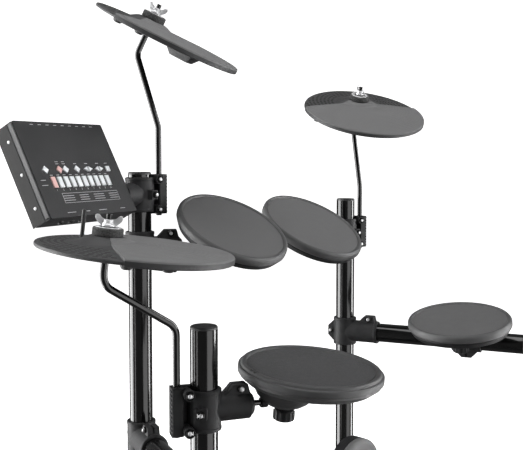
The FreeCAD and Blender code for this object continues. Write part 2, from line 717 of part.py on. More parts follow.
def cymbal_skin(bell):
    """Rubber strike zone: the part of the disc ahead of two leaning lines, wrapped at its edge."""
    outer = CYMBAL_DIAMETER / 2
    inner = outer - SKIN_EDGE_WALL
    apex = bow_height(0)
    rim = bow_height(inner)
    low = rim + SKIN_THICKNESS - SKIN_EDGE_HEIGHT
    cap = turned([(0, apex), (0, apex + SKIN_THICKNESS), (outer, bow_height(outer) + SKIN_THICKNESS),
                  (outer, low), (inner, low), (inner, rim)])
    cap.translate(V(CYMBAL_HOLE_OFFSET, 0, 0))
    spread = outer * 2 * math.tan(math.radians(SKIN_SPREAD_DEG))
    bottom = low - OVERRUN
    corners = [V(SKIN_CHORD, 0, bottom), V(SKIN_CHORD + spread, outer * 2, bottom),
               V(outer * 2, outer * 2, bottom), V(outer * 2, -outer * 2, bottom),
               V(SKIN_CHORD + spread, -outer * 2, bottom)]
    front = Part.Face(Part.makePolygon(corners + corners[:1])).extrude(UP * CYMBAL_DIAMETER)
    return cap.common(front).cut(bell).removeSplitter()


def cymbal_bow(bell, hollow, skin, with_peg):
    """Shallow cone with an off-centre bell, the rod hole and the jack box."""
    edge = CYMBAL_DIAMETER / 2
    ahead = V(CYMBAL_HOLE_OFFSET, 0, 0)
    apex = bow_height(0)
    rim = bow_height(edge)
    box_low = rim - JACK_BOX_DEPTH
    disc = turned([(0, apex), (edge, rim), (edge, rim - BOW_THICKNESS), (0, apex - BOW_THICKNESS)])
    cover = turned([(0, apex), (edge, rim), (edge, box_low - OVERRUN), (0, box_low - OVERRUN)])
    disc.translate(ahead)
    cover.translate(ahead)
    jack_box = block(JACK_BOX_LENGTH, JACK_BOX_WIDTH, -box_low, z_low=box_low)
    jack_box = jack_box.makeChamfer(JACK_BOX_DRAFT, jack_box.Faces[4].Edges)
    jack_box.translate(V(JACK_BOX_AHEAD, 0, 0))
    body = disc.fuse(bell).cut(hollow).fuse(jack_box.common(cover))
    if with_peg:
        foot = heading(PEG_HEADING_DEG) * PEG_RADIUS + UP * (rim - BOW_THICKNESS / 2)
        body = body.fuse(Part.makeCylinder(PEG_DIAMETER / 2, PEG_HEIGHT, foot))
    hole = Part.makeCylinder(CYMBAL_HOLE / 2, BELL_HEIGHT * 2 + OVERRUN, V(0, 0, -BELL_HEIGHT * 2))
    return body.cut([hole, skin]).removeSplitter()


def ring(outer, inner, low, height):
    return Part.makeCylinder(outer, height, V(0, 0, low)).cut(Part.makeCylinder(inner, height, V(0, 0, low)))


def wing_nut(seat):
    """Pressed wing nut: tapered hub with two raised wings."""
    hub_r = NUT_HUB_DIAMETER / 2
    hub = Part.makeCone(hub_r, hub_r - CAP_CHAMFER, NUT_HUB_HEIGHT, V(0, 0, seat))
    nut = hub
    for turn in (0, 180):
        wing = Part.makePolygon([V(hub_r / 2, 0, seat), V(hub_r, 0, seat),
                                 V(NUT_SPAN / 2, 0, seat + NUT_WING_RISE - NUT_WING_WIDTH / 2),
                                 V(NUT_SPAN / 2 - CAP_CHAMFER, 0, seat + NUT_WING_RISE),
                                 V(NUT_SPAN / 2 - NUT_WING_WIDTH, 0, seat + NUT_WING_RISE - CAP_CHAMFER),
                                 V(hub_r / 2, 0, seat + NUT_HUB_HEIGHT), V(hub_r / 2, 0, seat)])
        leaf = Part.Face(wing).extrude(V(0, NUT_WING_THICKNESS, 0))
        leaf.translate(V(0, -NUT_WING_THICKNESS / 2, 0))
        leaf.rotate(V(0, 0, 0), UP, turn)
        nut = nut.fuse(leaf)
    bore = Part.makeCylinder(STUD_DIAMETER / 2 + NUT_CLEARANCE, NUT_WING_RISE * 2, V(0, 0, seat - OVERRUN))
    return nut.cut(bore).removeSplitter()


def cymbal(name, rod_points, hole_heading, lean, with_peg=False):
    """Everything on one cymbal rod; the rod's last run points along the stud."""
    hole = rod_points[-1]
    normal = leaning(hole_heading, lean)
    frame = placed(hole, normal, heading(hole_heading))
    bell, hollow = cymbal_bell()
    skin = cymbal_skin(bell)
    bow = cymbal_bow(bell, hollow, skin, with_peg)
    bow_under = -BOW_THICKNESS * 2
    lower_felt_low = bow_under - LOWER_FELT_HEIGHT
    collar_top = lower_felt_low - FELT_GAP
    shank_end = collar_top - COLLAR_HEIGHT
    nut_seat = FELT_HEIGHT + FELT_GAP
    stud_top = nut_seat + NUT_HUB_HEIGHT + STUD_ABOVE_NUT
    points = rod_points[:-1] + [frame.multVec(V(0, 0, shank_end))]
    shank = bent_rod(points)
    collar = at(Part.makeCylinder(COLLAR_DIAMETER / 2, COLLAR_HEIGHT, V(0, 0, shank_end)), frame)
    stud = at(Part.makeCylinder(STUD_DIAMETER / 2, stud_top - shank_end, V(0, 0, shank_end)), frame)
    add(name + "_rod", shank.fuse([collar, stud]).removeSplitter())
    add(name + "_bow", at(bow, frame))
    add(name + "_skin", at(skin, frame))
    felt_bore = STUD_DIAMETER / 2 + FELT_BORE_CLEARANCE
    upper = ring(FELT_DIAMETER / 2, felt_bore, 0, FELT_HEIGHT)
    lower = ring(COLLAR_DIAMETER / 2, felt_bore, lower_felt_low, LOWER_FELT_HEIGHT)
    add(name + "_felts", at(upper, frame), at(lower, frame))
    add(name + "_wing_nut", at(wing_nut(nut_seat), frame))
    rock = frame.multVec(V(0, 0, -BOW_THICKNESS))
    CYMBALS[name] = {"frame": frame, "rod_foot": rod_points[0], "rock": rock}


def swan_rod(clamp, block_deg, hole_z, hole_heading, lean):
    """Rod that rises straight, leans back and comes forward under the bell."""
    foot = clamp + heading(block_deg) * ROD_OFFSET
    away = heading(hole_heading) * -LEAN_BACK
    tip_rise = (LEAN_BACK - TOP_BACK) / math.tan(math.radians(lean))
    top = V(foot.x, foot.y, hole_z) - heading(hole_heading) * TOP_BACK
    upper_bend = V(foot.x, foot.y, hole_z - tip_rise) + away
    lower_bend = V(foot.x, foot.y, hole_z - tip_rise - LEAN_RISE)
    return [foot - UP * ROD_TAIL, lower_bend, upper_bend, top]


def hihat_rod(clamp):
    """Rod with a sloping run that carries the hi-hat out to the side."""
    foot = clamp + heading(HIHAT_BLOCK_DEG) * ROD_OFFSET
    knee = V(foot.x, foot.y, HIHAT_ROD_KNEE_Z)
    top = V(foot.x, foot.y, HIHAT_HOLE_Z) + heading(HIHAT_ROD_RUN_DEG) * HIHAT_ROD_RUN
    neck = top - leaning(HIHAT_HEADING_DEG, HIHAT_LEAN_DEG) * HIHAT_ROD_NECK
    elbow = V(neck.x, neck.y, HIHAT_ROD_ELBOW_Z)
    return [foot - UP * ROD_TAIL, knee, elbow, neck, top]


def module(clamp_centre, out):
    """Sound module that tilts on a pin at the end of its boss."""
    wide = out * -1
    facing = heading(MODULE_YAW_DEG - 90)
    lean = math.radians(MODULE_LEAN_DEG)
    normal = facing * math.cos(lean) + UP * math.sin(lean)
    pivot = clamp_centre + out * MODULE_BOSS_REACH
    tall = normal.cross(wide)
    side = MODULE_WIDTH / 2 + PIVOT_CLEARANCE
    face = pivot - wide * side + tall * PIVOT_BELOW_CENTRE + normal * (MODULE_DEPTH / 2)
    frame = placed(face, normal, wide)
    shell_depth = MODULE_DEPTH - PANEL_THICKNESS
    case = block(MODULE_WIDTH, MODULE_HEIGHT, shell_depth, z_low=-MODULE_DEPTH)
    back_edges = [e for e in case.Edges if e.CenterOfMass.z < -MODULE_DEPTH + MODULE_WALL]
    case = case.makeChamfer(MODULE_CORNER, back_edges)
    room = block(MODULE_WIDTH - MODULE_WALL * 2, MODULE_HEIGHT - MODULE_WALL * 2, shell_depth,
                 z_low=-MODULE_DEPTH + MODULE_WALL * 2)
    hub_spot = V(MODULE_WIDTH / 2 - PIVOT_HUB_DEPTH, -PIVOT_BELOW_CENTRE, -MODULE_DEPTH / 2)
    hub = rod(PIVOT_HUB / 2, hub_spot, hub_spot + V(PIVOT_HUB_DEPTH, 0, 0))
    pin_start = PIVOT_HUB_DEPTH - PIVOT_PIN_DEPTH - PIVOT_CLEARANCE
    pin_hole = rod(PIVOT_PIN / 2 + PIVOT_CLEARANCE, hub_spot + V(pin_start, 0, 0),
                   hub_spot + V(PIVOT_HUB_DEPTH + OVERRUN, 0, 0))
    board_top = -PANEL_THICKNESS - BOARD_BEHIND_PANEL
    board_x = MODULE_WIDTH / 2 - MODULE_WALL - BOARD_INSET
    board_low = -PIVOT_BELOW_CENTRE + PIVOT_HUB / 2 + BOARD_INSET / 2
    board_high = MODULE_HEIGHT / 2 - MODULE_WALL - BOARD_INSET
    posts = []
    for x in (-board_x + STANDOFF_DIAMETER, board_x - STANDOFF_DIAMETER):
        for y in (board_low + STANDOFF_DIAMETER, board_high - STANDOFF_DIAMETER):
            posts.append(rod(STANDOFF_DIAMETER / 2, V(x, y, -MODULE_DEPTH + MODULE_WALL),
                             V(x, y, board_top - BOARD_THICKNESS)))
    case = case.cut(room).fuse([hub.common(case)] + posts).cut(pin_hole)
    panel = block(MODULE_WIDTH, MODULE_HEIGHT, PANEL_THICKNESS, z_low=-PANEL_THICKNESS)
    upright = [e for e in panel.Edges if abs(e.tangentAt(e.FirstParameter).z) > UPRIGHT_SHARE]
    panel = panel.makeFillet(MODULE_CORNER / 2, upright)
    board = block(board_x * 2, board_high - board_low, BOARD_THICKNESS, y_low=board_low,
                  z_low=board_top - BOARD_THICKNESS)
    key_row = MODULE_HEIGHT * (KEY_ROW_SHARE - MIDDLE_SHARE)
    number_row = MODULE_HEIGHT * (NUMBER_ROW_SHARE - MIDDLE_SHARE)
    key_low = board_top + KEY_FLOOR_GAP
    key_height = KEY_PROUD - key_low

    def key_spot(share):
        return V(MODULE_WIDTH * (share - MIDDLE_SHARE), key_row, key_low)

    def square(spot, turn):
        half = KEY_SIZE / 2
        ring_points = [V(half, half, 0), V(-half, half, 0), V(-half, -half, 0), V(half, -half, 0)]
        outline = Part.makePolygon(ring_points + ring_points[:1])
        outline.rotate(V(0, 0, 0), UP, turn)
        outline.translate(spot)
        return Part.Face(outline)

    def arrow(spot, way):
        half = KEY_SIZE / 2
        gap = ROCKER_ARROW_GAP / 2
        ring_points = [V(way * gap, half, 0), V(way * (gap + KEY_SIZE), 0, 0), V(way * gap, -half, 0)]
        outline = Part.makePolygon(ring_points + ring_points[:1])
        outline.translate(spot)
        return Part.Face(outline)

    def bar(k):
        middle = MODULE_WIDTH * (NUMBER_MIDDLE_SHARE - MIDDLE_SHARE)
        first = middle - NUMBER_KEY_PITCH * (NUMBER_KEY_COUNT - 1) / 2
        outline = Part.makePlane(NUMBER_KEY_WIDTH, NUMBER_KEY_HEIGHT)
        outline.translate(V(first + NUMBER_KEY_PITCH * k - NUMBER_KEY_WIDTH / 2,
                            number_row - NUMBER_KEY_HEIGHT / 2, key_low))
        return outline

    faces = {
        "number_keys": [bar(k) for k in range(NUMBER_KEY_COUNT)],
        "menu_key": [square(key_spot(MENU_KEY_SHARE), DIAMOND_TURN_DEG)],
        "song_keys": [square(key_spot(share), DIAMOND_TURN_DEG) for share in SONG_KEY_SHARES],
        "click_key": [square(key_spot(CLICK_KEY_SHARE), DIAMOND_TURN_DEG)],
        "tempo_rocker": [arrow(key_spot(TEMPO_KEY_SHARE), way) for way in (-1, 1)],
        "kit_rocker": [arrow(key_spot(KIT_KEY_SHARE), way) for way in (-1, 1)],
        "save_key": [square(key_spot(SAVE_KEY_SHARE), 0)],
    }
    keys = {}
    for node, outlines in faces.items():
        keys[node] = [outline.extrude(UP * key_height) for outline in outlines]
        for outline in outlines:
            hole = outline.makeOffset2D(KEY_CLEARANCE, 2).extrude(UP * (key_height + OVERRUN))
            panel = panel.cut(hole)
    for node, share in (("tempo_rocker", TEMPO_KEY_SHARE), ("kit_rocker", KIT_KEY_SHARE)):
        web = block(KEY_SIZE * 2, KEY_SIZE / 2, BOARD_BEHIND_PANEL - KEY_FLOOR_GAP - KEY_TRAVEL)
        web.translate(key_spot(share))
        keys[node] = [web.fuse(keys[node]).removeSplitter()]
    add("module_case", at(case.removeSplitter(), frame))
    add("module_panel", at(panel, frame))
    add("module_board", at(board, frame))
    for node, solids in keys.items():
        add(node, *[at(key, frame) for key in solids])
    rockers = {"tempo_rocker": TEMPO_KEY_SHARE, "kit_rocker": KIT_KEY_SHARE}
    hinges = {node: frame.multVec(V(key_spot(share).x, key_row, -PANEL_THICKNESS / 2))
              for node, share in rockers.items()}
    return {"frame": frame, "pivot": pivot, "axis": wide, "normal": normal, "tall": tall, "hinges": hinges,
            "keys": list(keys)}


KICK_R = KICK_DIAMETER / 2
KICK_Z = KICK_TOP_Z - KICK_R
KICK_BACK_Y = KICK_Y + KICK_RUBBER + KICK_SHELL
AXLE_Y = KICK_Y - BEATER_GAP - BEATER_HEAD_LENGTH / 2
AHEAD = V(0, 1, 0)
ACROSS = V(1, 0, 0)


def kick_pad():
    """Round rubber pad in a shell, carried by a column on a floor plate."""
    front = V(0, KICK_Y, KICK_Z)
    add("kick_pad_rubber", rod(KICK_R, front, front + AHEAD * KICK_RUBBER))
    seam = front + AHEAD * KICK_RUBBER
    cavity = KICK_SHELL - KICK_SHELL_WALL
    shell = rod(KICK_R, seam, seam + AHEAD * KICK_SHELL)
    shell = shell.cut(rod(KICK_R - KICK_SHELL_WALL, seam, seam + AHEAD * cavity))
    sensor = rod(SENSOR_DIAMETER / 2, seam, seam + AHEAD * cavity)
    add("kick_pad_shell", shell, sensor)
    stand_front = AXLE_Y + LEVER_RADIUS + STAND_CLEAR
    plate = block(STAND_WIDTH, STAND_LENGTH, STAND_PLATE, y_low=stand_front)
    neck_end = KICK_BACK_Y + COLUMN_SETBACK
    neck = block(COLUMN_WIDTH, COLUMN_SETBACK, KICK_R / 2, y_low=KICK_BACK_Y, z_low=KICK_Z - KICK_R / 2)
    column = block(COLUMN_WIDTH, COLUMN_DEPTH, KICK_Z, y_low=neck_end)
    hollow = block(COLUMN_WIDTH - COLUMN_WALL * 2, COLUMN_DEPTH - COLUMN_WALL * 2,
                   KICK_Z - COLUMN_WALL, y_low=neck_end + COLUMN_WALL)
    stand = plate.fuse([neck, column]).cut(hollow)
    brace_start = neck_end + COLUMN_DEPTH
    for side in (-1, 1):
        x = side * (COLUMN_WIDTH - BRACE_THICKNESS) / 2 - BRACE_THICKNESS / 2
        edge = [V(x, brace_start, 0), V(x, brace_start + BRACE_RUN, 0),
                V(x, brace_start + BRACE_RUN, STAND_PLATE), V(x, brace_start, BRACE_RISE)]
        stand = stand.fuse(Part.Face(Part.makePolygon(edge + edge[:1])).extrude(ACROSS * BRACE_THICKNESS))
    add("kick_stand", stand.removeSplitter())
    return stand_front


def footboard(hinge, slope_deg, width):
    """Foot plate with a knuckle at its heel, lying at a slope."""
    plate = block(width, BOARD_REACH + BOARD_NOSE, BOARD_PLATE, y_low=0, z_low=-BOARD_PLATE / 2)
    knuckle = rod(HINGE_KNUCKLE / 2, V(-width / 2, 0, 0), V(width / 2, 0, 0))
    bore = rod(HINGE_PIN / 2 + HINGE_CLEARANCE, V(-width, 0, 0), V(width, 0, 0))
    frame = FreeCAD.Placement(hinge, FreeCAD.Rotation(ACROSS, slope_deg))
    return plate.fuse(knuckle), bore, frame


def heel_hinge(hinge, width):
    """Pin and two cheeks that carry a footboard's heel."""
    inside = width / 2 + HINGE_END_GAP
    height = hinge.z + HINGE_KNUCKLE / 2
    solids = []
    for side in (-1, 1):
        x_low = inside if side > 0 else -inside - HINGE_CHEEK
        cheek = block(HINGE_CHEEK, HINGE_CHEEK_DEPTH, height, x_low=x_low)
        cheek.translate(V(hinge.x, hinge.y, 0))
        solids.append(cheek)
    end = V(inside + HINGE_CHEEK, 0, 0)
    solids.append(rod(HINGE_PIN / 2, hinge - end, hinge + end))
    return solids


def kick_pedal(stand_front):
    """Pedal: frame, footboard, drive link, and the axle with lever and beater."""
    axle = V(0, AXLE_Y, AXLE_Z)
    half_swing = math.radians(BEATER_SWING_DEG / 2)
    lever_end = axle + V(0, LEVER_RADIUS * math.cos(half_swing), LEVER_RADIUS * math.sin(half_swing))
    foot_pin = lever_end - UP * LINK_LENGTH
    pin_rise = BOARD_PLATE / 2 + LINK_RISE
    span = math.hypot(BOARD_REACH, pin_rise)
    pin_angle = math.atan2(pin_rise, BOARD_REACH)
    slope = math.asin((foot_pin.z - HEEL_Z) / span) - pin_angle
    drop = LEVER_RADIUS * math.sin(half_swing) * 2
    pressed = math.asin((foot_pin.z - drop - HEEL_Z) / span) - pin_angle
    hinge = V(0, foot_pin.y - span * math.cos(slope + pin_angle), HEEL_Z)

    inner = PEDAL_WIDTH / 2 - PEDAL_POST
    heel_y = hinge.y - HEEL_TAIL
    frame_solid = block(PEDAL_WIDTH, stand_front - heel_y, PEDAL_PLATE, y_low=heel_y)
    for side in (-1, 1):
        x_low = inner if side > 0 else -inner - PEDAL_POST
        upright = block(PEDAL_POST, PEDAL_POST_DEPTH, AXLE_Z + POST_ABOVE_AXLE, x_low=x_low)
        upright.translate(V(0, AXLE_Y, 0))
        frame_solid = frame_solid.fuse(upright)
    frame_solid = frame_solid.fuse(heel_hinge(hinge, BOARD_WIDTH))
    stub_end = ACROSS * (inner + AXLE_STUB_REACH)
    stub_room = ACROSS * (inner + AXLE_STUB_REACH + AXLE_CLEARANCE)
    bearing = rod(AXLE_STUB / 2 + AXLE_CLEARANCE, axle - stub_room, axle + stub_room)
    add("pedal_frame", frame_solid.cut(bearing).removeSplitter())

    link_x = LEVER_THICKNESS / 2 + LINK_SIDE_GAP
    lug_x = link_x + LINK_THICKNESS + LINK_SIDE_GAP
    plate, bore, frame = footboard(hinge, math.degrees(slope), BOARD_WIDTH)
    lug = block(BOARD_LUG, BOARD_LUG_WIDTH, pin_rise + LINK_PIN, x_low=lug_x)
    lug.translate(V(0, BOARD_REACH, 0))
    pin_bore = rod(LINK_PIN / 2 + HINGE_CLEARANCE, V(lug_x - OVERRUN, BOARD_REACH, pin_rise),
                   V(lug_x + BOARD_LUG + OVERRUN, BOARD_REACH, pin_rise))
    add("pedal_footboard", at(plate.fuse(lug).cut([bore, pin_bore]).removeSplitter(), frame))

    thick = ACROSS * LINK_THICKNESS
    side_shift = ACROSS * link_x
    low_eye = foot_pin + side_shift
    high_eye = lever_end + side_shift
    bar = block(LINK_THICKNESS, LINK_WIDTH, LINK_LENGTH, x_low=0)
    bar.translate(low_eye)
    link = bar.fuse([rod(LINK_WIDTH / 2, eye, eye + thick) for eye in (low_eye, high_eye)])
    link = link.cut(rod(LINK_EYE / 2, high_eye - thick, high_eye + thick * 2))
    pin_end = ACROSS * (BOARD_LUG + LINK_SIDE_GAP)
    link = link.fuse(rod(LINK_PIN / 2, low_eye, low_eye + thick + pin_end))
    add("drive_link", link.removeSplitter())

    bar_end = ACROSS * (inner - HINGE_END_GAP)
    shaft = rod(AXLE_DIAMETER / 2, axle - bar_end, axle + bar_end)
    shaft = shaft.fuse(rod(AXLE_STUB / 2, axle - stub_end, axle + stub_end))
    lever = block(LEVER_THICKNESS, LEVER_RADIUS, LEVER_WIDTH, y_low=0, z_low=-LEVER_WIDTH / 2)
    lever = lever.fuse(rod(LEVER_WIDTH / 2, V(-LEVER_THICKNESS / 2, LEVER_RADIUS, 0),
                           V(LEVER_THICKNESS / 2, LEVER_RADIUS, 0)))
    lever = lever.fuse(rod(LINK_PIN / 2, V(0, LEVER_RADIUS, 0),
                           V(link_x + LINK_THICKNESS + LINK_SIDE_GAP, LEVER_RADIUS, 0)))
    lever = at(lever, FreeCAD.Placement(axle, FreeCAD.Rotation(ACROSS, BEATER_SWING_DEG / 2)))
    swing = FreeCAD.Rotation(ACROSS, BEATER_SWING_DEG)
    stick = Part.makeCylinder(BEATER_SHAFT / 2, KICK_Z - AXLE_Z)
    stick = at(stick, FreeCAD.Placement(axle, swing))
    reach = AHEAD * (BEATER_HEAD_LENGTH / 2)
    top = UP * (KICK_Z - AXLE_Z)
    head = rod(BEATER_HEAD_DIAMETER / 2, top - reach, top + reach)
    head = head.makeChamfer(BOSS_CHAMFER, [e for e in head.Edges if e.Closed])
    head = head.cut(Part.makeCylinder(BEATER_SHAFT / 2 + CAP_CLEARANCE, KICK_Z - AXLE_Z + CAP_CLEARANCE))
    add("beater_axle", shaft.fuse([lever, stick]).removeSplitter())
    add("beater_head", at(head, FreeCAD.Placement(axle, swing)))
    return {"hinge": hinge, "axle": axle, "foot_pin": foot_pin, "travel_deg": math.degrees(slope - pressed)}


def hihat_pedal():
    """Foot controller: floor frame with a sensor block and a sprung footboard."""
    slope = math.radians(HIHAT_PEDAL_RISE_DEG)
    length = BOARD_REACH + BOARD_NOSE
    hinge = V(HIHAT_PEDAL_X, HIHAT_PEDAL_TOE_Y - length * math.cos(slope), HEEL_Z)
    heel_y = hinge.y - HEEL_TAIL
    base = block(HIHAT_PEDAL_WIDTH, HIHAT_PEDAL_TOE_Y - heel_y, PEDAL_PLATE, y_low=heel_y)
    pressed = math.radians(HIHAT_PEDAL_RISE_DEG - HIHAT_PEDAL_TRAVEL_DEG)
    reach = HIHAT_PEDAL_TOE_Y - HIHAT_SENSOR_LENGTH - hinge.y
    under_board = HEEL_Z + reach * math.tan(pressed) - BOARD_PLATE / 2 / math.cos(pressed)
    sensor = block(BOARD_WIDTH, HIHAT_SENSOR_LENGTH, under_board - HIHAT_SENSOR_GAP,
                   y_low=HIHAT_PEDAL_TOE_Y - HIHAT_SENSOR_LENGTH)
    base = base.fuse(sensor)
    base.translate(V(HIHAT_PEDAL_X, 0, 0))
    add("hihat_pedal_base", base.fuse(heel_hinge(hinge, BOARD_WIDTH)).removeSplitter())
    plate, bore, frame = footboard(hinge, HIHAT_PEDAL_RISE_DEG, BOARD_WIDTH)
    add("hihat_footboard", at(plate.cut(bore).removeSplitter(), frame))
    return {"hinge": hinge}


# The rack.
post("left_far_post", LEFT_FAR, LEFT_FAR_POST_HEIGHT)
post("right_far_post", RIGHT_FAR, RIGHT_FAR_POST_HEIGHT)
post("left_near_post", LEFT_NEAR, LEFT_NEAR_POST_HEIGHT)
post("right_near_post", RIGHT_NEAR, RIGHT_NEAR_POST_HEIGHT)
rack_tube("left_side_tube", LEFT_FAR, LEFT_NEAR, LEFT_RUN, LEFT_SIDE_TUBE_Z)
rack_tube("right_side_tube", RIGHT_FAR, RIGHT_NEAR, RIGHT_RUN, RIGHT_SIDE_TUBE_Z)
rack_tube("cross_tube", LEFT_FAR, RIGHT_FAR, CROSS_RUN, CROSS_TUBE_Z)
tee_clamp(LEFT_FAR, LEFT_SIDE_TUBE_Z, LEFT_RUN)
tee_clamp(LEFT_NEAR, LEFT_SIDE_TUBE_Z, -LEFT_RUN)
tee_clamp(RIGHT_FAR, RIGHT_SIDE_TUBE_Z, RIGHT_RUN)
tee_clamp(RIGHT_NEAR, RIGHT_SIDE_TUBE_Z, -RIGHT_RUN)
tee_clamp(LEFT_FAR, CROSS_TUBE_Z, CROSS_RUN)
tee_clamp(RIGHT_FAR, CROSS_TUBE_Z, -CROSS_RUN)

# Clamps with what they carry.
TOP_CLAMP = module_clamp()
TOM_1_CLAMP = post_clamp(LEFT_FAR, TOM_1_CLAMP_Z, TOM_1_DEG, BOSS_REACH)
TOM_2_CLAMP = post_clamp(RIGHT_FAR, RIDE_CLAMP_Z, TOM_2_DEG, BOSS_REACH, (RIDE_BLOCK_DEG, -1))
SNARE_CLAMP = post_clamp(LEFT_NEAR, HIHAT_CLAMP_Z, SNARE_DEG, BOSS_REACH, (HIHAT_BLOCK_DEG, 1))
FLOOR_CLAMP = floor_clamp()
pad("snare", SNARE_DIAMETER, SNARE_CLAMP, BOSS_REACH, SNARE_REACH, SNARE_LEAN_HEADING_DEG, SNARE_LEAN_DEG,
    BOWL_OFFSET, BOWL_DEPTH, True)
pad("tom_1", TOM_DIAMETER, TOM_1_CLAMP, BOSS_REACH, TOM_1_REACH, TOM_LEAN_HEADING_DEG, TOM_LEAN_DEG,
    TOM_1_BOWL_OFFSET, BOWL_DEPTH)
pad("tom_2", TOM_DIAMETER, TOM_2_CLAMP, BOSS_REACH, TOM_2_REACH, TOM_LEAN_HEADING_DEG, TOM_LEAN_DEG,
    BOWL_OFFSET, BOWL_DEPTH)
pad("floor_tom", TOM_DIAMETER, FLOOR_CLAMP, FLOOR_BOSS_REACH, FLOOR_REACH, FLOOR_LEAN_HEADING_DEG,
    FLOOR_LEAN_DEG, 0, FLOOR_BOWL_DEPTH)
cymbal("crash", swan_rod(TOP_CLAMP[0], CRASH_BLOCK_DEG, CRASH_HOLE_Z, CRASH_HEADING_DEG, CRASH_LEAN_DEG),
       CRASH_HEADING_DEG, CRASH_LEAN_DEG)
cymbal("ride", swan_rod(TOM_2_CLAMP[0], RIDE_BLOCK_DEG, RIDE_HOLE_Z, RIDE_HEADING_DEG, RIDE_LEAN_DEG),
       RIDE_HEADING_DEG, RIDE_LEAN_DEG)
cymbal("hihat", hihat_rod(SNARE_CLAMP[0]), HIHAT_HEADING_DEG, HIHAT_LEAN_DEG, True)
MODULE = module(*TOP_CLAMP)

# What stands on the floor.
KICK_PEDAL = kick_pedal(kick_pad())
HIHAT_PEDAL = hihat_pedal()

# The origin lies on the floor under the middle of the whole kit.
NODES = {node: Part.makeCompound(solids) for node, solids in SHAPES.items()}
BOUNDS = FreeCAD.BoundBox()
for shape in NODES.values():
    BOUNDS.add(shape.optimalBoundingBox(False, False))
TO_ORIGIN = V(-BOUNDS.Center.x, -BOUNDS.Center.y, -BOUNDS.ZMin)

os.makedirs("parts", exist_ok=True)
for node, shape in NODES.items():
    shape.translate(TO_ORIGIN)
    shape.exportStep("parts/" + node + ".step")
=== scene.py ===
import bmesh
import bpy
import json
import math
from mathutils import Matrix, Vector


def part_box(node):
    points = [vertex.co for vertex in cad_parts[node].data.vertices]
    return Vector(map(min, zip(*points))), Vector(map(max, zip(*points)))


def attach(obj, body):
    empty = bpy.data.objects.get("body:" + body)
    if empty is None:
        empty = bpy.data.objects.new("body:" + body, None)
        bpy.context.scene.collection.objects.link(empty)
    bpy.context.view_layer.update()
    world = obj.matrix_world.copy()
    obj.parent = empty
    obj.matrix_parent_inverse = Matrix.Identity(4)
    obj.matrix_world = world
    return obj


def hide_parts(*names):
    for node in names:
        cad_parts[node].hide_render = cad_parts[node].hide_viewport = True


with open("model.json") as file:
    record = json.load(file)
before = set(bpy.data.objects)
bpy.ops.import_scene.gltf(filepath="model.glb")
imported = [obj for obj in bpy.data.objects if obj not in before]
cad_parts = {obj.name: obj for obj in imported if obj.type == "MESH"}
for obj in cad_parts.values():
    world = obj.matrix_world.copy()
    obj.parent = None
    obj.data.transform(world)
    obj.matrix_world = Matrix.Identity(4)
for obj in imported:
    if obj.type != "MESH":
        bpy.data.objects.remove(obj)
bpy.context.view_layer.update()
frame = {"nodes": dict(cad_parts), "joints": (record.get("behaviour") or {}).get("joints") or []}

# The studio: a pale floor between white walls. Three narrow fills light the matt plastic and rubber,
# and four tall sheets show only in gloss, as long highlights either side of a dark middle on the tubes.
# The camera stands at chest height off the drummer's left shoulder.
camera_data = bpy.data.cameras.new("studio_camera")
camera_data.sensor_width = 36.0
camera_data.lens = 58.51
camera_data.shift_x = -0.0022
camera_data.shift_y = -0.0488
camera = bpy.data.objects.new("studio_camera", camera_data)
camera.location = (-1.07788, -0.85632, 0.900)
camera.rotation_euler = (math.radians(87.0), 0, math.radians(-46.5))
bpy.context.collection.objects.link(camera)
bpy.context.scene.camera = camera
bpy.context.scene.view_settings.view_transform = "Standard"

surround = bpy.data.worlds.new("white_surround")
surround.use_nodes = True
surround.node_tree.nodes["Background"].inputs["Color"].default_value = (1.0, 1.0, 1.0, 1.0)
surround.node_tree.nodes["Background"].inputs["Strength"].default_value = 0.16
bpy.context.scene.world = surround
up = Vector((0, 0, 1))
kit_middle = up * 0.7


def level(turn):
    """Level direction at an angle, anticlockwise from the drummer's right."""
    return Vector((math.cos(turn), math.sin(turn), 0))


def soft_light(name, heading_deg, distance, height, width, tall, watts, fill=True, shine=True):
    data = bpy.data.lights.new(name, "AREA")
    data.shape = "RECTANGLE"
    data.size = width
    data.size_y = tall
    data.energy = watts
    light = bpy.data.objects.new(name, data)
    light.location = level(math.radians(heading_deg)) * distance + up * height
    aim = kit_middle - light.location
    light.rotation_euler = aim.to_track_quat("-Z", "Y").to_euler()
    bpy.context.collection.objects.link(light)
    light.visible_diffuse = fill
    light.visible_glossy = shine


soft_light("left_fill", 149.5, 3.2, 1.2, 0.45, 2.8, 48, shine=False)
soft_light("right_fill", -40.5, 3.2, 1.2, 0.4, 2.8, 54, shine=False)
soft_light("front_fill", -82.0, 3.4, 1.3, 1.9, 2.6, 30, shine=False)
soft_light("left_sheet", 126.0, 3.2, 0.4, 2.3, 5.2, 380, fill=False)
soft_light("left_sliver", 170.0, 3.2, 0.4, 0.3, 5.2, 22, fill=False)
soft_light("right_panel", -86.0, 3.4, 0.4, 3.0, 5.2, 115, fill=False)
soft_light("right_strip", -32.0, 3.2, 0.4, 0.9, 5.2, 225, fill=False)
soft_light("overhead", 200.0, 0.6, 3.4, 2.6, 2.6, 78)


def stage_sheet(name, corners, colour, glow):
    mesh = bpy.data.meshes.new(name)
    mesh.from_pydata(corners, [], [(0, 1, 2, 3)])
    paper = bpy.data.materials.new(name)
    paper.use_nodes = True
    shader = paper.node_tree.nodes["Principled BSDF"]
    shader.inputs["Base Color"].default_value = (*colour, 1)
    shader.inputs["Roughness"].default_value = 0.9
    shader.inputs["Emission Color"].default_value = (*colour, 1)
    shader.inputs["Emission Strength"].default_value = glow
    mesh.materials.append(paper)
    sheet = bpy.data.objects.new(name, mesh)
    bpy.context.collection.objects.link(sheet)
    sheet.visible_diffuse = False
    sheet.visible_glossy = False
    sheet.visible_shadow = False


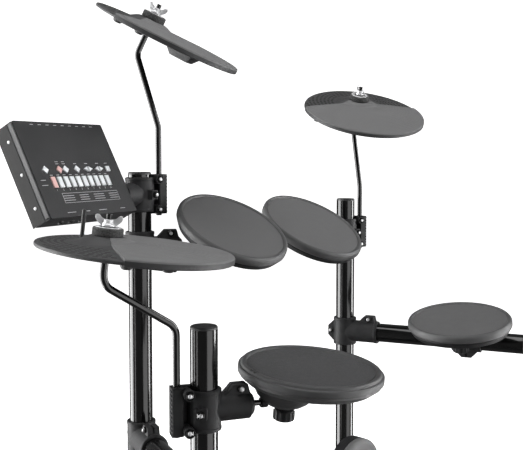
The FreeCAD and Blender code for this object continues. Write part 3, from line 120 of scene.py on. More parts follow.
room = 9.0
wall_foot = -0.5
corners = [(-room, -room), (room, -room), (room, room), (-room, room)]
stage_sheet("studio_floor", [(x, y, 0) for x, y in corners], (0.9, 0.9, 0.9), 1.1)
for k, (x, y) in enumerate(corners):
    past_x, past_y = corners[k - 1]
    wall = [(x, y, wall_foot), (past_x, past_y, wall_foot), (past_x, past_y, room), (x, y, room)]
    stage_sheet(f"studio_wall_{k}", wall, (1.0, 1.0, 1.0), 1.2)


# The rack: four posts and three level tubes of 38 mm steel, powder coated in gloss black.
# The coat shows a faint orange peel and picks up dust, so its gloss is a little uneven.
def coat(name, dark, light, grain, rough, bump, bump_grain, edge=0.0, rings=0.0, **sockets):
    """Finish whose colour and gloss drift with a noise, with fine bumps, soft edges and turned grooves."""
    material = bpy.data.materials.new(name)
    material.use_nodes = True
    tree = material.node_tree
    nodes, links = tree.nodes, tree.links
    shader = nodes["Principled BSDF"]
    place = nodes.new("ShaderNodeTexCoord")
    drift = nodes.new("ShaderNodeTexNoise")
    drift.inputs["Scale"].default_value = grain
    drift.inputs["Detail"].default_value = 4.0
    links.new(place.outputs["Object"], drift.inputs["Vector"])
    low, high = 0.3, 0.7
    tint = nodes.new("ShaderNodeValToRGB")
    tint.color_ramp.elements[0].position = low
    tint.color_ramp.elements[1].position = high
    tint.color_ramp.elements[0].color = (*dark, 1)
    tint.color_ramp.elements[1].color = (*light, 1)
    links.new(drift.outputs["Fac"], tint.inputs["Fac"])
    links.new(tint.outputs["Color"], shader.inputs["Base Color"])
    gloss = nodes.new("ShaderNodeMapRange")
    gloss.inputs["From Min"].default_value = low
    gloss.inputs["From Max"].default_value = high
    gloss.inputs["To Min"].default_value = rough[0]
    gloss.inputs["To Max"].default_value = rough[1]
    links.new(drift.outputs["Fac"], gloss.inputs["Value"])
    links.new(gloss.outputs["Result"], shader.inputs["Roughness"])
    pits = nodes.new("ShaderNodeTexNoise")
    pits.inputs["Scale"].default_value = bump_grain
    pits.inputs["Detail"].default_value = 3.0
    links.new(place.outputs["Object"], pits.inputs["Vector"])
    relief = nodes.new("ShaderNodeBump")
    relief.inputs["Strength"].default_value = bump
    relief.inputs["Distance"].default_value = 0.0006
    links.new(pits.outputs["Fac"], relief.inputs["Height"])
    links.new(relief.outputs["Normal"], shader.inputs["Normal"])
    if edge:
        soften = nodes.new("ShaderNodeBevel")
        soften.samples = 4
        soften.inputs["Radius"].default_value = edge
        links.new(soften.outputs["Normal"], relief.inputs["Normal"])
    if rings:
        radius = nodes.new("ShaderNodeAttribute")
        radius.attribute_name = "radius_mm"
        wave = nodes.new("ShaderNodeMath")
        wave.operation = "PINGPONG"
        wave.inputs[1].default_value = rings
        links.new(radius.outputs["Fac"], wave.inputs[0])
        groove = nodes.new("ShaderNodeBump")
        groove.inputs["Strength"].default_value = 0.25
        groove.inputs["Distance"].default_value = 0.0004
        links.new(wave.outputs["Value"], groove.inputs["Height"])
        links.new(groove.outputs["Normal"], relief.inputs["Normal"])
    for socket, value in sockets.items():
        shader.inputs[socket.replace("_", " ")].default_value = value
    return material


def dress(node, material):
    """Puts a finish on every slot of a CAD node."""
    for slot in frame["nodes"][node].material_slots:
        slot.material = material


gloss_black = coat("gloss_black_coat", (0.003, 0.003, 0.003), (0.005, 0.005, 0.005), grain=40.0,
                   rough=(0.13, 0.17), bump=0.006, bump_grain=900.0)
for node in ("left_far_post", "right_far_post", "left_near_post", "right_near_post", "left_side_tube",
             "right_side_tube", "cross_tube"):
    dress(node, gloss_black)


# End caps and feet: caps pressed into the tube tops, and soft cups with two grip rings under
# the posts, both moulded in plain black and a little dusty.
mm = 0.001
to_right = Vector((1, 0, 0))


def turned(x, y, z, origin):
    """Matrix with the given three axes and origin."""
    place = Matrix((x, y, z)).transposed().to_4x4()
    place.translation = origin
    return place


def axes(origin, along_x, along_z):
    """Matrix of a real piece's own frame: millimetres in, metres in the scene out."""
    z = Vector(along_z).normalized()
    x = Vector(along_x)
    x = (x - z * x.dot(z)).normalized()
    return turned(x, z.cross(x), z, origin) @ Matrix.Scale(mm, 4)


def piece(name, shape, material, body, stands_for=(), sharp_deg=40.0):
    """Turns a bmesh into one piece of the scene that rides on a body."""
    bmesh.ops.recalc_face_normals(shape, faces=shape.faces)
    mesh = bpy.data.meshes.new(name)
    shape.to_mesh(mesh)
    shape.free()
    mesh.shade_smooth()
    mesh.set_sharp_from_angle(angle=math.radians(sharp_deg))
    mesh.materials.clear()
    mesh.materials.append(material)
    thing = bpy.data.objects.new(name, mesh)
    bpy.context.collection.objects.link(thing)
    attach(thing, body)
    for node in stands_for:
        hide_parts(node)
    return thing


def lathe(shape, profile, place, sides, aside=0.0):
    """Adds a closed turned form from (radius, height) points, with its axis moved aside along -X."""
    rings = []
    for radius, height in profile:
        middle = Vector((-aside, 0, height))
        if radius < 1e-6:
            rings.append([shape.verts.new(place @ middle)])
            continue
        turns = [2 * math.pi * k / sides for k in range(sides)]
        rings.append([shape.verts.new(place @ (middle + level(turn) * radius)) for turn in turns])
    pairs = list(zip(rings, rings[1:]))
    if len(rings[0]) > 1:
        pairs.append((rings[-1], rings[0]))
    for low, high in pairs:
        for k in range(sides):
            after = (k + 1) % sides
            corners = [low[k % len(low)], low[after % len(low)], high[after % len(high)], high[k % len(high)]]
            shape.faces.new(list(dict.fromkeys(corners)))


def rounded(profile, steps=3):
    """Cuts the corners of a profile with short arcs; a third number on a point is its radius."""
    soft = []
    for k, point in enumerate(profile):
        if len(point) == 2:
            soft.append(point)
            continue
        here = Vector(point[:2])
        before = Vector(profile[k - 1][:2]) - here
        after = Vector(profile[(k + 1) % len(profile)][:2]) - here
        size = min(point[2], before.length * 0.49, after.length * 0.49)
        first = here + before.normalized() * size
        last = here + after.normalized() * size
        for n in range(steps + 1):
            t = n / steps
            soft.append(tuple(first * (1 - t) ** 2 + here * 2 * t * (1 - t) + last * t ** 2))
    return soft


cap_black = coat("cap_black", (0.010, 0.010, 0.010), (0.018, 0.018, 0.019), grain=60.0, rough=(0.45, 0.6),
                 bump=0.2, bump_grain=1500.0, edge=0.001)
foot_rubber = coat("foot_rubber", (0.012, 0.012, 0.012), (0.022, 0.022, 0.022), grain=50.0,
                   rough=(0.7, 0.85), bump=0.3, bump_grain=1200.0)
dress("post_caps", cap_black)
posts = {}
for name in ("left_far", "right_far", "left_near", "right_near"):
    low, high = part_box(name + "_post")
    posts[name] = Vector(((low[0] + high[0]) / 2, (low[1] + high[1]) / 2, 0))
cup = rounded([(0, 0), (26.6, 0, 2), (27, 6, 1), (26.6, 11, 1), (25.4, 12.2, 0.6), (26.2, 13.6, 0.6),
               (25.6, 19, 0.8), (24.4, 20.2, 0.6), (25.2, 21.6, 0.6), (23.2, 41.8, 1.6), (19.2, 41.8, 1),
               (19.2, 6), (0, 6)])
shape = bmesh.new()
for foot in posts.values():
    lathe(shape, cup, axes(foot, to_right, up), 64)
piece("foot_cups", shape, foot_rubber, "rack", ("rubber_feet",))


# Clamps: glass-filled nylon mouldings in matte charcoal that grip the tubes, with a narrow collar
# at each end of a sleeve and a ribbed back on the jaws that hold the cymbal rods. Black hexagon
# bolts with bright tips close every split ear and jaw.
def scatter(name, unit, spots, finish):
    """Sets one small form on many spots with geometry nodes and hands back a plain mesh."""
    cloud = bpy.data.meshes.new(name + "_spots")
    cloud.from_pydata([spot.translation for spot in spots], [], [])
    turn = cloud.attributes.new("turn", "FLOAT_VECTOR", "POINT")
    size = cloud.attributes.new("size", "FLOAT_VECTOR", "POINT")
    for k, spot in enumerate(spots):
        _, rotation, scale = spot.decompose()
        turn.data[k].vector = rotation.to_euler()
        size.data[k].vector = scale
    unit_mesh = bpy.data.meshes.new(name + "_unit")
    unit.to_mesh(unit_mesh)
    unit.free()
    things = [bpy.data.objects.new(mesh.name, mesh) for mesh in (cloud, unit_mesh)]
    for thing in things:
        bpy.context.collection.objects.link(thing)
    tree = bpy.data.node_groups.new(name + "_repeat", "GeometryNodeTree")
    sockets = {}
    for label, way, kind in (("Spots", "INPUT", "Geometry"), ("Unit", "INPUT", "Object"),
                             ("Finish", "INPUT", "Material"), ("Pieces", "OUTPUT", "Geometry")):
        sockets[label] = tree.interface.new_socket(label, in_out=way, socket_type="NodeSocket" + kind)
    kinds = {"start": "NodeGroupInput", "unit": "GeometryNodeObjectInfo",
             "turn": "GeometryNodeInputNamedAttribute", "size": "GeometryNodeInputNamedAttribute",
             "set": "GeometryNodeInstanceOnPoints", "real": "GeometryNodeRealizeInstances",
             "finish": "GeometryNodeSetMaterial", "end": "NodeGroupOutput"}
    made = {key: tree.nodes.new(kind) for key, kind in kinds.items()}
    for key in ("turn", "size"):
        made[key].data_type = "FLOAT_VECTOR"
        made[key].inputs["Name"].default_value = key
    for out_node, out_socket, in_node, in_socket in (
            ("start", "Spots", "set", "Points"), ("start", "Unit", "unit", "Object"),
            ("unit", "Geometry", "set", "Instance"), ("turn", "Attribute", "set", "Rotation"),
            ("size", "Attribute", "set", "Scale"), ("set", "Instances", "real", "Geometry"),
            ("real", "Geometry", "finish", "Geometry"), ("start", "Finish", "finish", "Material"),
            ("finish", "Geometry", "end", "Pieces")):
        tree.links.new(made[out_node].outputs[out_socket], made[in_node].inputs[in_socket])
    repeat = things[0].modifiers.new("repeat", "NODES")
    repeat.node_group = tree
    repeat[sockets["Unit"].identifier] = things[1]
    repeat[sockets["Finish"].identifier] = finish
    graph = bpy.context.evaluated_depsgraph_get()
    mesh = bpy.data.meshes.new_from_object(things[0].evaluated_get(graph), depsgraph=graph)
    things[0].modifiers.remove(repeat)
    for thing in things:
        bpy.data.objects.remove(thing)
    shape = bmesh.new()
    shape.from_mesh(mesh)
    return shape


def join(shape, other):
    """Adds one bmesh to another and lets it go."""
    mesh = bpy.data.meshes.new("joined")
    other.to_mesh(mesh)
    other.free()
    shape.from_mesh(mesh)


def slab(shape, x, y, z, chamfer, place=Matrix()):
    """Adds a box between three pairs of limits with its upper edges cut back."""
    rings = []
    for height, inset in ((z[0], 0.0), (z[1] - chamfer, 0.0), (z[1], chamfer)):
        low_x, high_x, low_y, high_y = x[0] + inset, x[1] - inset, y[0] + inset, y[1] - inset
        rings.append([shape.verts.new(place @ Vector((px, py, height)))
                      for px, py in ((low_x, low_y), (high_x, low_y), (high_x, high_y), (low_x, high_y))])
    for low, high in zip(rings, rings[1:]):
        for k in range(4):
            shape.faces.new((low[k], low[(k + 1) % 4], high[(k + 1) % 4], high[k]))
    shape.faces.new(rings[0][::-1])
    shape.faces.new(rings[-1])


clamp_nylon = coat("clamp_nylon", (0.025, 0.025, 0.026), (0.033, 0.033, 0.034), grain=70.0,
                   rough=(0.42, 0.54), bump=0.3, bump_grain=1400.0, edge=0.0012, Specular_IOR_Level=0.14)
zinc = coat("bright_zinc", (0.55, 0.55, 0.56), (0.72, 0.72, 0.73), grain=160.0, rough=(0.25, 0.4),
            bump=0.1, bump_grain=900.0, Metallic=0.4)
dress("tee_clamps", clamp_nylon)
dress("post_clamps", clamp_nylon)
dress("pad_rods", gloss_black)
left_z, right_z, cross_z = 430.0, 527.0, 210.0
tees = [("left_far", "left_near", left_z), ("left_near", "left_far", left_z),
        ("right_far", "right_near", right_z), ("right_near", "right_far", right_z),
        ("left_far", "right_far", cross_z), ("right_far", "left_far", cross_z)]
jaws = [("left_far", 835.0, -5, -1), ("right_far", 737.0, -15, -1), ("left_near", 555.0, 150, 1)]
bosses = [("left_far", 746.0, -35), ("right_far", 737.0, 200), ("left_near", 555.0, -26)]

sleeves = {(post, z) for post, _, z in tees} | {clamp[:2] for clamp in jaws + bosses}
collar = rounded([(22.4, -2.4), (23.9, -2.4, 0.8), (23.9, 2.4, 0.8), (22.4, 2.4)])
collar_rise = 25.4
mouth_band = rounded([(21.6, -3), (23.3, -3, 0.8), (23.3, 3, 0.8), (21.6, 3)])
mouth_reach = 69.5
shape = bmesh.new()
for post, z in sorted(sleeves):
    for rise in (-collar_rise, collar_rise):
        lathe(shape, collar, axes(posts[post] + up * (z + rise) * mm, to_right, up), 64)
for post, other, z in tees:
    out = (posts[other] - posts[post]).normalized()
    lathe(shape, mouth_band, axes(posts[post] + (out * mouth_reach + up * z) * mm, up, out), 64)
piece("clamp_collars", shape, clamp_nylon, "rack")

rib = bmesh.new()
slab(rib, (-1.1, 1.1), (-5.4, 5.4), (0, 1.3), 0.4)
rib_pitch, jaw_back, jaw_middle = 5.8, 46.4, 6.7
spots = []
for post, z, heading_deg, side in jaws:
    out = level(math.radians(heading_deg))
    across = up.cross(out) * side
    for k in range(-5, 6):
        seat = out * jaw_back + across * jaw_middle + up * (z + k * rib_pitch)
        spots.append(axes(posts[post] + seat * mm, up, out))
piece("jaw_ribs", scatter("jaw_rib", rib, spots, clamp_nylon), clamp_nylon, "rack")

head_high = 4.5
ear_side = 10.0 + head_high
ear_long = 20.0 + head_high
back_ear, top_ear, top_rise = 28.75, 54.0, 28.0
boss_ear, boss_rise = 50.0, 25.0
jaw_bolt, jaw_bolt_side, jaw_bolt_rise, jaw_bolt_long = 24.5, 25.5, 25.0, 34.9
set_bolt, set_bolt_turn_deg, set_bolt_long = 35.5, 70, 16.4
floor_clamp_run = 257.0
bolts = []
for post, other, z in tees:
    out = (posts[other] - posts[post]).normalized()
    across = out.cross(up)
    for along, rise in ((-back_ear, 0.0), (top_ear, top_rise)):
        bolts.append((post, out * along + across * ear_side + up * (z + rise), across, ear_long))
for post, z, heading_deg, side in jaws:
    out = level(math.radians(heading_deg))
    across = up.cross(out) * side
    for rise in (-jaw_bolt_rise, jaw_bolt_rise):
        bolts.append((post, out * jaw_bolt + across * jaw_bolt_side + up * (z + rise), across, jaw_bolt_long))
    out = level(math.radians(heading_deg + side * set_bolt_turn_deg))
    bolts.append((post, out * set_bolt + up * z, out, set_bolt_long))
for post, z, heading_deg in bosses:
    out = level(math.radians(heading_deg))
    across = out.cross(up)
    bolts.append((post, out * boss_ear + across * ear_side + up * (z + boss_rise), across, ear_long))
out = (posts["right_near"] - posts["right_far"]).normalized()
across = up.cross(out)
under_tube = out * floor_clamp_run + across * ear_side + up * (right_z - back_ear)
bolts.append(("right_far", under_tube, across, ear_long))
heads, shanks = [], []
for post, seat, out, length in bolts:
    place = axes(posts[post] + seat * mm, up, out)
    heads.append(place)
    shanks.append(place @ Matrix.Diagonal((1, 1, length, 1)))
head = bmesh.new()
lathe(head, [(0, 0.0), (4.4, 0.0), (5.1, -0.5), (5.77, -1.1), (5.77, -head_high), (0, -head_high)],
      Matrix(), 6)
tip = bmesh.new()
lathe(tip, rounded([(0, 1.5), (2.6, 1.2, 0.8), (3.0, 0.2), (3.0, -0.6), (0, -0.6)]), Matrix(), 20)
shank = bmesh.new()
lathe(shank, [(0, -0.12), (3.0, -0.12), (3.0, -1.0), (0, -1.0)], Matrix(), 20)
shape = scatter("bolt_head", head, heads, gloss_black)
join(shape, scatter("bolt_shank", shank, shanks, gloss_black))
piece("hex_bolts", shape, gloss_black, "rack", ("clamp_bolts",), 20.0)
piece("bolt_tips", scatter("bolt_tip", tip, heads, zinc), zinc, "rack")

# Drum pads: a flat rubber head inside a rounded lip, on a tapered tray whose offset bowl takes the
# rod through a round nut; a ribbed knob under the bowl locks the pad's tilt. On the toms the lip is coloured
# darker than the head of the same rubber, as painted shade on its rounded sides. The snare's head is darker
# and textured. Its tray is coloured lighter than the toms' black trays, as painted light from below and left.
# Its rim steps down and has two small notches, drawn as near-black patches of painted shade.
head_grey = coat("pad_rubber_grey", (0.084, 0.084, 0.085), (0.098, 0.098, 0.099), grain=60.0,
                 rough=(0.55, 0.7), bump=0.2, bump_grain=2200.0, Specular_IOR_Level=0.42)
head_dark = coat("snare_rubber_dark", (0.027, 0.027, 0.028), (0.041, 0.041, 0.042), grain=160.0,
                 rough=(0.65, 0.85), bump=0.6, bump_grain=1800.0, Specular_IOR_Level=0.38)
shell_black = coat("shell_black", (0.008, 0.008, 0.009), (0.013, 0.013, 0.014), grain=60.0,
                   rough=(0.45, 0.6), bump=0.3, bump_grain=1500.0, edge=0.001, Specular_IOR_Level=0.2)
# Snare tray: coloured lighter than the toms' black trays, as painted light falling on it from below and left.
painted_light_bowl = coat("bowl_charcoal", (0.042, 0.042, 0.043), (0.054, 0.054, 0.055), grain=60.0,
                 rough=(0.4, 0.55), bump=0.3, bump_grain=1500.0, edge=0.001)
# Tom lip: coloured darker than the head of the same grey rubber, as painted shade on its rounded sides.
painted_shade_lip = coat("pad_lip_dark", (0.050, 0.050, 0.051), (0.062, 0.062, 0.063), grain=60.0,
                rough=(0.5, 0.65), bump=0.2, bump_grain=2200.0)
rim_grey = coat("snare_rim_grey", (0.031, 0.031, 0.032), (0.040, 0.040, 0.041), grain=60.0,
                rough=(0.5, 0.65), bump=0.3, bump_grain=2000.0)
# Near-black for the snare rim's notches and the cymbals' pressed dashes: painted shade in recesses.
notch_dark = coat("notch_dark", (0.004, 0.004, 0.004), (0.007, 0.007, 0.007), grain=60.0,
                  rough=(0.7, 0.8), bump=0.1, bump_grain=900.0)
joints = {joint["name"]: joint for joint in frame["joints"]}
head_top, head_foot, lip_foot = -2.5, -14.5, -15.0
eye_drop, knob_drop = 18.0, 31.35
knob_radius, knob_middle, knob_ribs = 14.4, 8.2, 14
nut_back = 37.5
nut_profile = rounded([(4.9, 0), (7.2, 0, 0.8), (7.6, 4, 0.6), (7.6, 9, 0.6), (6.6, 10.5, 0.8), (4.9, 10.5)])
pads = {"snare": (104.5, 36.0, 32.0), "tom_1": (98.0, 20.0, 32.0), "tom_2": (98.0, 36.0, 32.0),
        "floor_tom": (98.0, 0.0, 21.0)}
for name, (rim, aside, bowl) in pads.items():
    knob_turn = joints[name + "_knob_turn"]
    rod_way = Vector(joints[name + "_tilt"]["axis"])
    eye = Vector(knob_turn["pos_m"])
    place = axes(eye, rod_way, knob_turn["axis"]) @ Matrix.Translation((aside, 0, eye_drop + bowl))
    if name == "snare":
        skin, edge, tray, slot = head_dark, rim_grey, painted_light_bowl, "snare_rubber"
        flat = rim - 14.0
        lip = [(flat, -3.6), (rim - 12.6, -3.4, 0.6), (rim - 11, -0.4, 2), (rim - 5, 0, 2),
               (rim - 3.4, -4.6, 1.2), (rim - 2, -4.2, 1), (rim, -5.4, 1.5), (rim, -14.2, 1.5),
               (rim - 2.5, lip_foot), (flat, lip_foot)]
    else:
        skin, edge, tray, slot = head_grey, painted_shade_lip, shell_black, "pad_rubber"
        flat = rim - 9.0
        lip = [(flat, -3.4), (rim - 8.2, -2.0, 0.6), (rim - 6.5, 0, 2), (rim - 3, 0, 3), (rim, -4, 4),
               (rim, -13.2, 1.2), (rim - 2.2, lip_foot), (flat, lip_foot)]
    shape = bmesh.new()
    lathe(shape, [(0, head_top), (flat, head_top), (flat, head_foot), (0, head_foot)], place, 128)
    piece(name + "_head", shape, skin, name, (name + "_rubber",), 50.0)
    shape = bmesh.new()
    lathe(shape, rounded(lip), place, 128)
    piece(name + "_lip", shape, edge, name, (), 50.0)
    dress(name + "_shell", tray)

    seat = -knob_drop - bowl
    knob = bmesh.new()
    lathe(knob, rounded([(0, seat), (13.5, seat, 1.5), (knob_radius, seat - 3, 1),
                         (knob_radius, seat - 14, 1), (12.5, seat - 16, 2), (0, seat - 16)]),
          place, 48, aside)
    grip = bmesh.new()
    slab(grip, (-1.3, 1.3), (-6.2, 6.2), (-1.0, 1.1), 0.5)
    spots = []
    for k in range(knob_ribs):
        out = level(2 * math.pi * k / knob_ribs)
        foot = out * knob_radius + Vector((-aside, 0, seat - knob_middle))
        spots.append(place @ turned(out.cross(up), up, out, foot))
    join(knob, scatter(name + "_grip", grip, spots, shell_black))
    nut = bmesh.new()
    lathe(nut, nut_profile, axes(eye - rod_way * nut_back * mm, up, rod_way), 24)
    piece(name + "_rod_nut", nut, shell_black, name)
    piece(name + "_turn_knob", knob, shell_black, name + "_clamp_knob",
          (name + "_knob",), 35.0)
    if name == "snare":
        # The notches are near-black patches on the rim: painted shade where the real notches are cut in.
        notch = bmesh.new()
        for turn_deg in (190, 195):
            spot = place @ Matrix.Rotation(math.radians(turn_deg), 4, "Z")
            slab(notch, (rim - 11.6, rim - 4.4), (-1.2, 1.2), (-1.5, 0.12), 0.1, spot)
        piece("snare_notches", notch, notch_dark, name)

# Cymbal pads: a dark moulded bow with a broad off-centre bell, bosses and a jack box underneath, and a
# thick rubber strike zone over its front with a dark band round its edge. The bare rear zone is pressed
# with arcs of short dashes, drawn as near-black raised marks of painted shade for the pressed dashes.
# Felts, a washer plate and a zinc wing nut hold each one on its stud.
bow_dark = coat("bow_charcoal", (0.033, 0.033, 0.034), (0.044, 0.044, 0.045), grain=50.0,
                rough=(0.45, 0.6), bump=0.25, bump_grain=1600.0, Specular_IOR_Level=0.28)
zone_grey = coat("zone_rubber", (0.098, 0.098, 0.099), (0.116, 0.116, 0.117), grain=60.0,
                 rough=(0.6, 0.75), bump=0.2, bump_grain=2200.0, rings=3.0)
felt_grey = coat("felt_grey", (0.02, 0.02, 0.02), (0.09, 0.09, 0.09), grain=500.0, rough=(0.9, 1.0),
                 bump=1.0, bump_grain=900.0)
disc_radius, disc_ahead = 127.0, 38.0


def bow_top(x, y):
    """Height of the bow's upper face: a shallow cone with the bell rising out of it."""
    disc = -7.0 - 6.0 * math.hypot(x - disc_ahead, y) / disc_radius
    t = min(max((math.hypot(x, y) - 19.0) / 33.0, 0.0), 1.0)
    bell = -14.0 * t * t * (3 - 2 * t)
    return (disc + bell + math.sqrt((disc - bell) ** 2 + 6.0)) / 2 - 0.2


def on_bow(way, r, lift):
    """Point over the bow at a distance from the rod hole."""
    return way * r + up * (bow_top(way.x * r, way.y * r) + lift)


def reach(turn, radius):
    """Distance from the rod hole to a circle round the disc's centre, along a heading."""
    return disc_ahead * math.cos(turn) + math.sqrt(radius ** 2 - (disc_ahead * math.sin(turn)) ** 2)


def loft(shape, columns, closed):
    """Joins closed loops of points into one shell, with flat ends unless it closes on itself."""
    rows = [[shape.verts.new(point) for point in column] for column in columns]
    count = len(rows[0])
    for a, b in zip(rows, rows[1:] + rows[:1] if closed else rows[1:]):
        for k in range(count):
            shape.faces.new((a[k], a[(k + 1) % count], b[(k + 1) % count], b[k]))
    if not closed:
        shape.faces.new(rows[0])
        shape.faces.new(rows[-1][::-1])


zone_edge = math.radians(81.0)
edge_slip = 0.002
hole, bow_thick = 6.2, 5.0
bow_steps, under_steps = 34, 20
tucked_radius, wrap_radius = 123.4, 123.5
box_ahead, box_corner = 74.0, 4
box_rings = ((25.0, 19.0, -11.0), (27.0, 20.0, -23.5), (18.5, 11.5, -35.6), (16.0, 9.5, -36.0))
boss_profile = rounded([(0, -22.6), (5.5, -22.6, 2), (7.5, -19, 1), (7.5, -16), (0, -16)])
boss_inset = 9.0
stem_profile = [(0, 28.4), (1.8, 28.4), (2.6, 27.6), (2.8, 25), (2.8, -15), (0, -15)]
stem_out = 46.0
dash_start, dash_row, dash_pitch, dash_margin = 56.0, 8.2, 10.5, 6.0
zone_start, zone_thick, zone_foot = 21.5, 3.0, -18.9
zone_columns, zone_steps, wrap_steps = 60, 32, 8
nut_seat = 12.2
wing_edge = rounded([(4, 0), (8.6, 0, 2), (15.2, 5.5, 6), (18, 10.5, 3), (17.2, 14.8, 3), (12.5, 14.4, 3),
                     (9.5, 10.2, 3), (4, 8.6)])
wing_x, wing_z = 11, 7.5
zone_twist_deg = {"crash": -11, "ride": 0, "hihat": 10}
for name, twist_deg in zone_twist_deg.items():
    stud = joints[name + "_nut_turn"]
    lean = Vector(stud["axis"])
    place = axes(stud["pos_m"], (lean.x, lean.y, 0), lean)
    twist = math.radians(twist_deg)
    turns = [math.radians(-180 + 3 * k) for k in range(120)]
    turns = [turn for turn in turns if abs(abs(turn - twist) - zone_edge) > 0.01]
    turns += [twist + side * (zone_edge + slip) for side in (-1, 1) for slip in (-edge_slip, edge_slip)]
    columns = []
    for turn in sorted(turns):
        way = level(turn)
        out = reach(turn, tucked_radius if abs(turn - twist) < zone_edge else disc_radius)
        points = [on_bow(way, hole + (out - 2.2 - hole) * n / bow_steps, 0.0) for n in range(bow_steps + 1)]
        tip = bow_top(way.x * out, way.y * out)
        for inset, drop in ((0.6, 0.5), (0.0, 1.8), (0.0, 3.4), (0.8, 4.6)):
            points.append(way * (out - inset) + up * (tip - drop))
        for n in range(under_steps, -1, -1):
            points.append(on_bow(way, hole + (out - 3.0 - hole) * n / under_steps, -bow_thick))
        columns.append([place @ point for point in points])
    shape = bmesh.new()
    loft(shape, columns, True)
    rings = []
    for x_half, y_half, z in box_rings:
        ring = []
        for x_side, y_side, turn_deg in ((1, 1, 0), (-1, 1, 90), (-1, -1, 180), (1, -1, 270)):
            corner = Vector((box_ahead + x_side * (x_half - box_corner), y_side * (y_half - box_corner), z))
            for step_deg in (0, 30, 60, 90):
                ring.append(place @ (corner + level(math.radians(turn_deg + step_deg)) * box_corner))
        rings.append(ring)
    loft(shape, rings, False)
    for inward_deg in (2, 22):
        for side in (-1, 1):
            turn = twist + side * (zone_edge - math.radians(inward_deg))
            seat = level(turn) * (reach(turn, disc_radius) - boss_inset)
            lathe(shape, boss_profile, place @ Matrix.Translation(seat), 24)
    if name == "hihat":
        stem = level(math.radians(145.0)) * stem_out
        lathe(shape, stem_profile, place @ Matrix.Translation(stem), 24)
    piece(name + "_moulding", shape, bow_dark, name + "_pad", (name + "_bow",), 35.0)

    # Each dash is a near-black raised mark: painted shade standing for the shade in a pressed dash.
    dash = bmesh.new()
    slab(dash, (-3.3, 3.3), (-2.2, 2.2), (-0.4, 0.14), 0.1)
    spots = []
    for row in range(8):
        radius = dash_start + dash_row * row
        count = int(2 * math.pi * radius / dash_pitch)
        for k in range(count):
            turn = 2 * math.pi * (k + 0.5) / count - math.pi
            out = level(turn)
            x, y = out.x * radius, out.y * radius
            in_zone = abs(turn - twist) < zone_edge + dash_margin / radius
            if in_zone or math.hypot(x - disc_ahead, y) > disc_radius - dash_margin:
                continue
            step = out * 0.5
            rise = bow_top(x + step.x, y + step.y) - bow_top(x - step.x, y - step.y)
            normal = (up - out * rise).normalized()
            across = out.cross(normal).normalized()
            spots.append(place @ turned(across, normal.cross(across), normal, on_bow(out, radius, 0.0)))
    shape = scatter(name + "_dash", dash, spots, notch_dark)
    piece(name + "_dashes", shape, notch_dark, name + "_pad")

    columns = []
    radii = []
    band = []
    for n in range(zone_columns + 1):
        turn = twist - zone_edge + 2 * zone_edge * n / zone_columns
        way = level(turn)
        out = reach(turn, disc_radius)
        inside = reach(turn, wrap_radius)
        points = []
        for k in range(zone_steps + 1):
            r = zone_start + (out - 2.6 - zone_start) * k / zone_steps
            points.append(on_bow(way, r, 0.5 + 2.5 * min(max((r - 22.0) / 24.0, 0.0), 1.0)))
        tip = bow_top(way.x * out, way.y * out) + zone_thick
        for inset, z in ((0.9, tip - 0.5), (0.15, tip - 1.8), (0.0, tip - 3.4), (0.3, -17.8),
                         (1.4, zone_foot)):
            points.append(way * (out - inset) + up * z)
        points.append(way * inside + up * zone_foot)
        band.append([place @ (way * (out + grow) + up * z) for grow, z in (
            (0.1, tip - 2.4), (0.2, tip - 3.4), (0.1, -18.0), (-1.3, -19.0), (-1.6, -17.0))])
        for k in range(wrap_steps, -1, -1):
            points.append(on_bow(way, zone_start + (inside - zone_start) * k / wrap_steps, -0.4))
        radii += [point.xy.length for point in points]
        columns.append([place @ point for point in points])
    shape = bmesh.new()
    loft(shape, columns, False)
    zone = piece(name + "_zone", shape, zone_grey, name + "_pad", (name + "_skin",), 35.0)
    zone.data.attributes.new("radius_mm", "FLOAT", "POINT").data.foreach_set("value", radii)
    shape = bmesh.new()
    loft(shape, band, False)
    piece(name + "_rim", shape, bow_dark, name + "_pad")

    shape = bmesh.new()
    lathe(shape, rounded([(5.7, 0), (20, 0, 2), (20, 11, 2.5), (5.7, 11, 1.5)]), place, 64)
    lathe(shape, rounded([(5.7, -16), (13, -16, 1.5), (13, -10, 1.5), (5.7, -10)]), place, 48)
    piece(name + "_washers", shape, felt_grey, name + "_pad", (name + "_felts",), 50.0)
    shape = bmesh.new()
    lathe(shape, rounded([(11.5, 10.9), (16.8, 10.9, 0.3), (16.8, 11.6, 0.3), (11.5, 11.6)]), place, 64)
    piece(name + "_plate", shape, zinc, name + "_pad")
    dress(name + "_rod", gloss_black)
    shape = bmesh.new()
    lathe(shape, rounded([(4.3, nut_seat), (8.6, nut_seat, 0.6), (8.4, 15, 0.6), (7.0, 16.4, 1),
                          (6.6, 21.2, 1.2), (4.3, 21.2)]), place, 48)
    for side in (1, -1):
        leaves = []
        for depth, grow in ((-1.6, 0.9), (-1.1, 1.0), (1.1, 1.0), (1.6, 0.9)):
            leaf = [(wing_x + (x - wing_x) * grow, nut_seat + wing_z + (z - wing_z) * grow)
                    for x, z in wing_edge]
            leaves.append([place @ Vector((side * x, side * depth, z)) for x, z in leaf])
        loft(shape, leaves, False)
    piece(name + "_thumb_nut", shape, zinc, name + "_nut", (name + "_wing_nut",), 40.0)

# Sound module: a flat charcoal case that tilts on its boss, with white keys in two rows, the first
# key of two groups tinted, plain numbers under the lower row, sockets along the top and bottom
# edges, a bevel down the side coloured pale as a painted highlight on its edge, and a dark skirt behind it.
module_charcoal = coat("module_charcoal", (0.022, 0.022, 0.023), (0.028, 0.028, 0.029), grain=30.0,
                       rough=(0.45, 0.55), bump=0.25, bump_grain=1800.0, edge=0.001, Specular_IOR_Level=0.22)
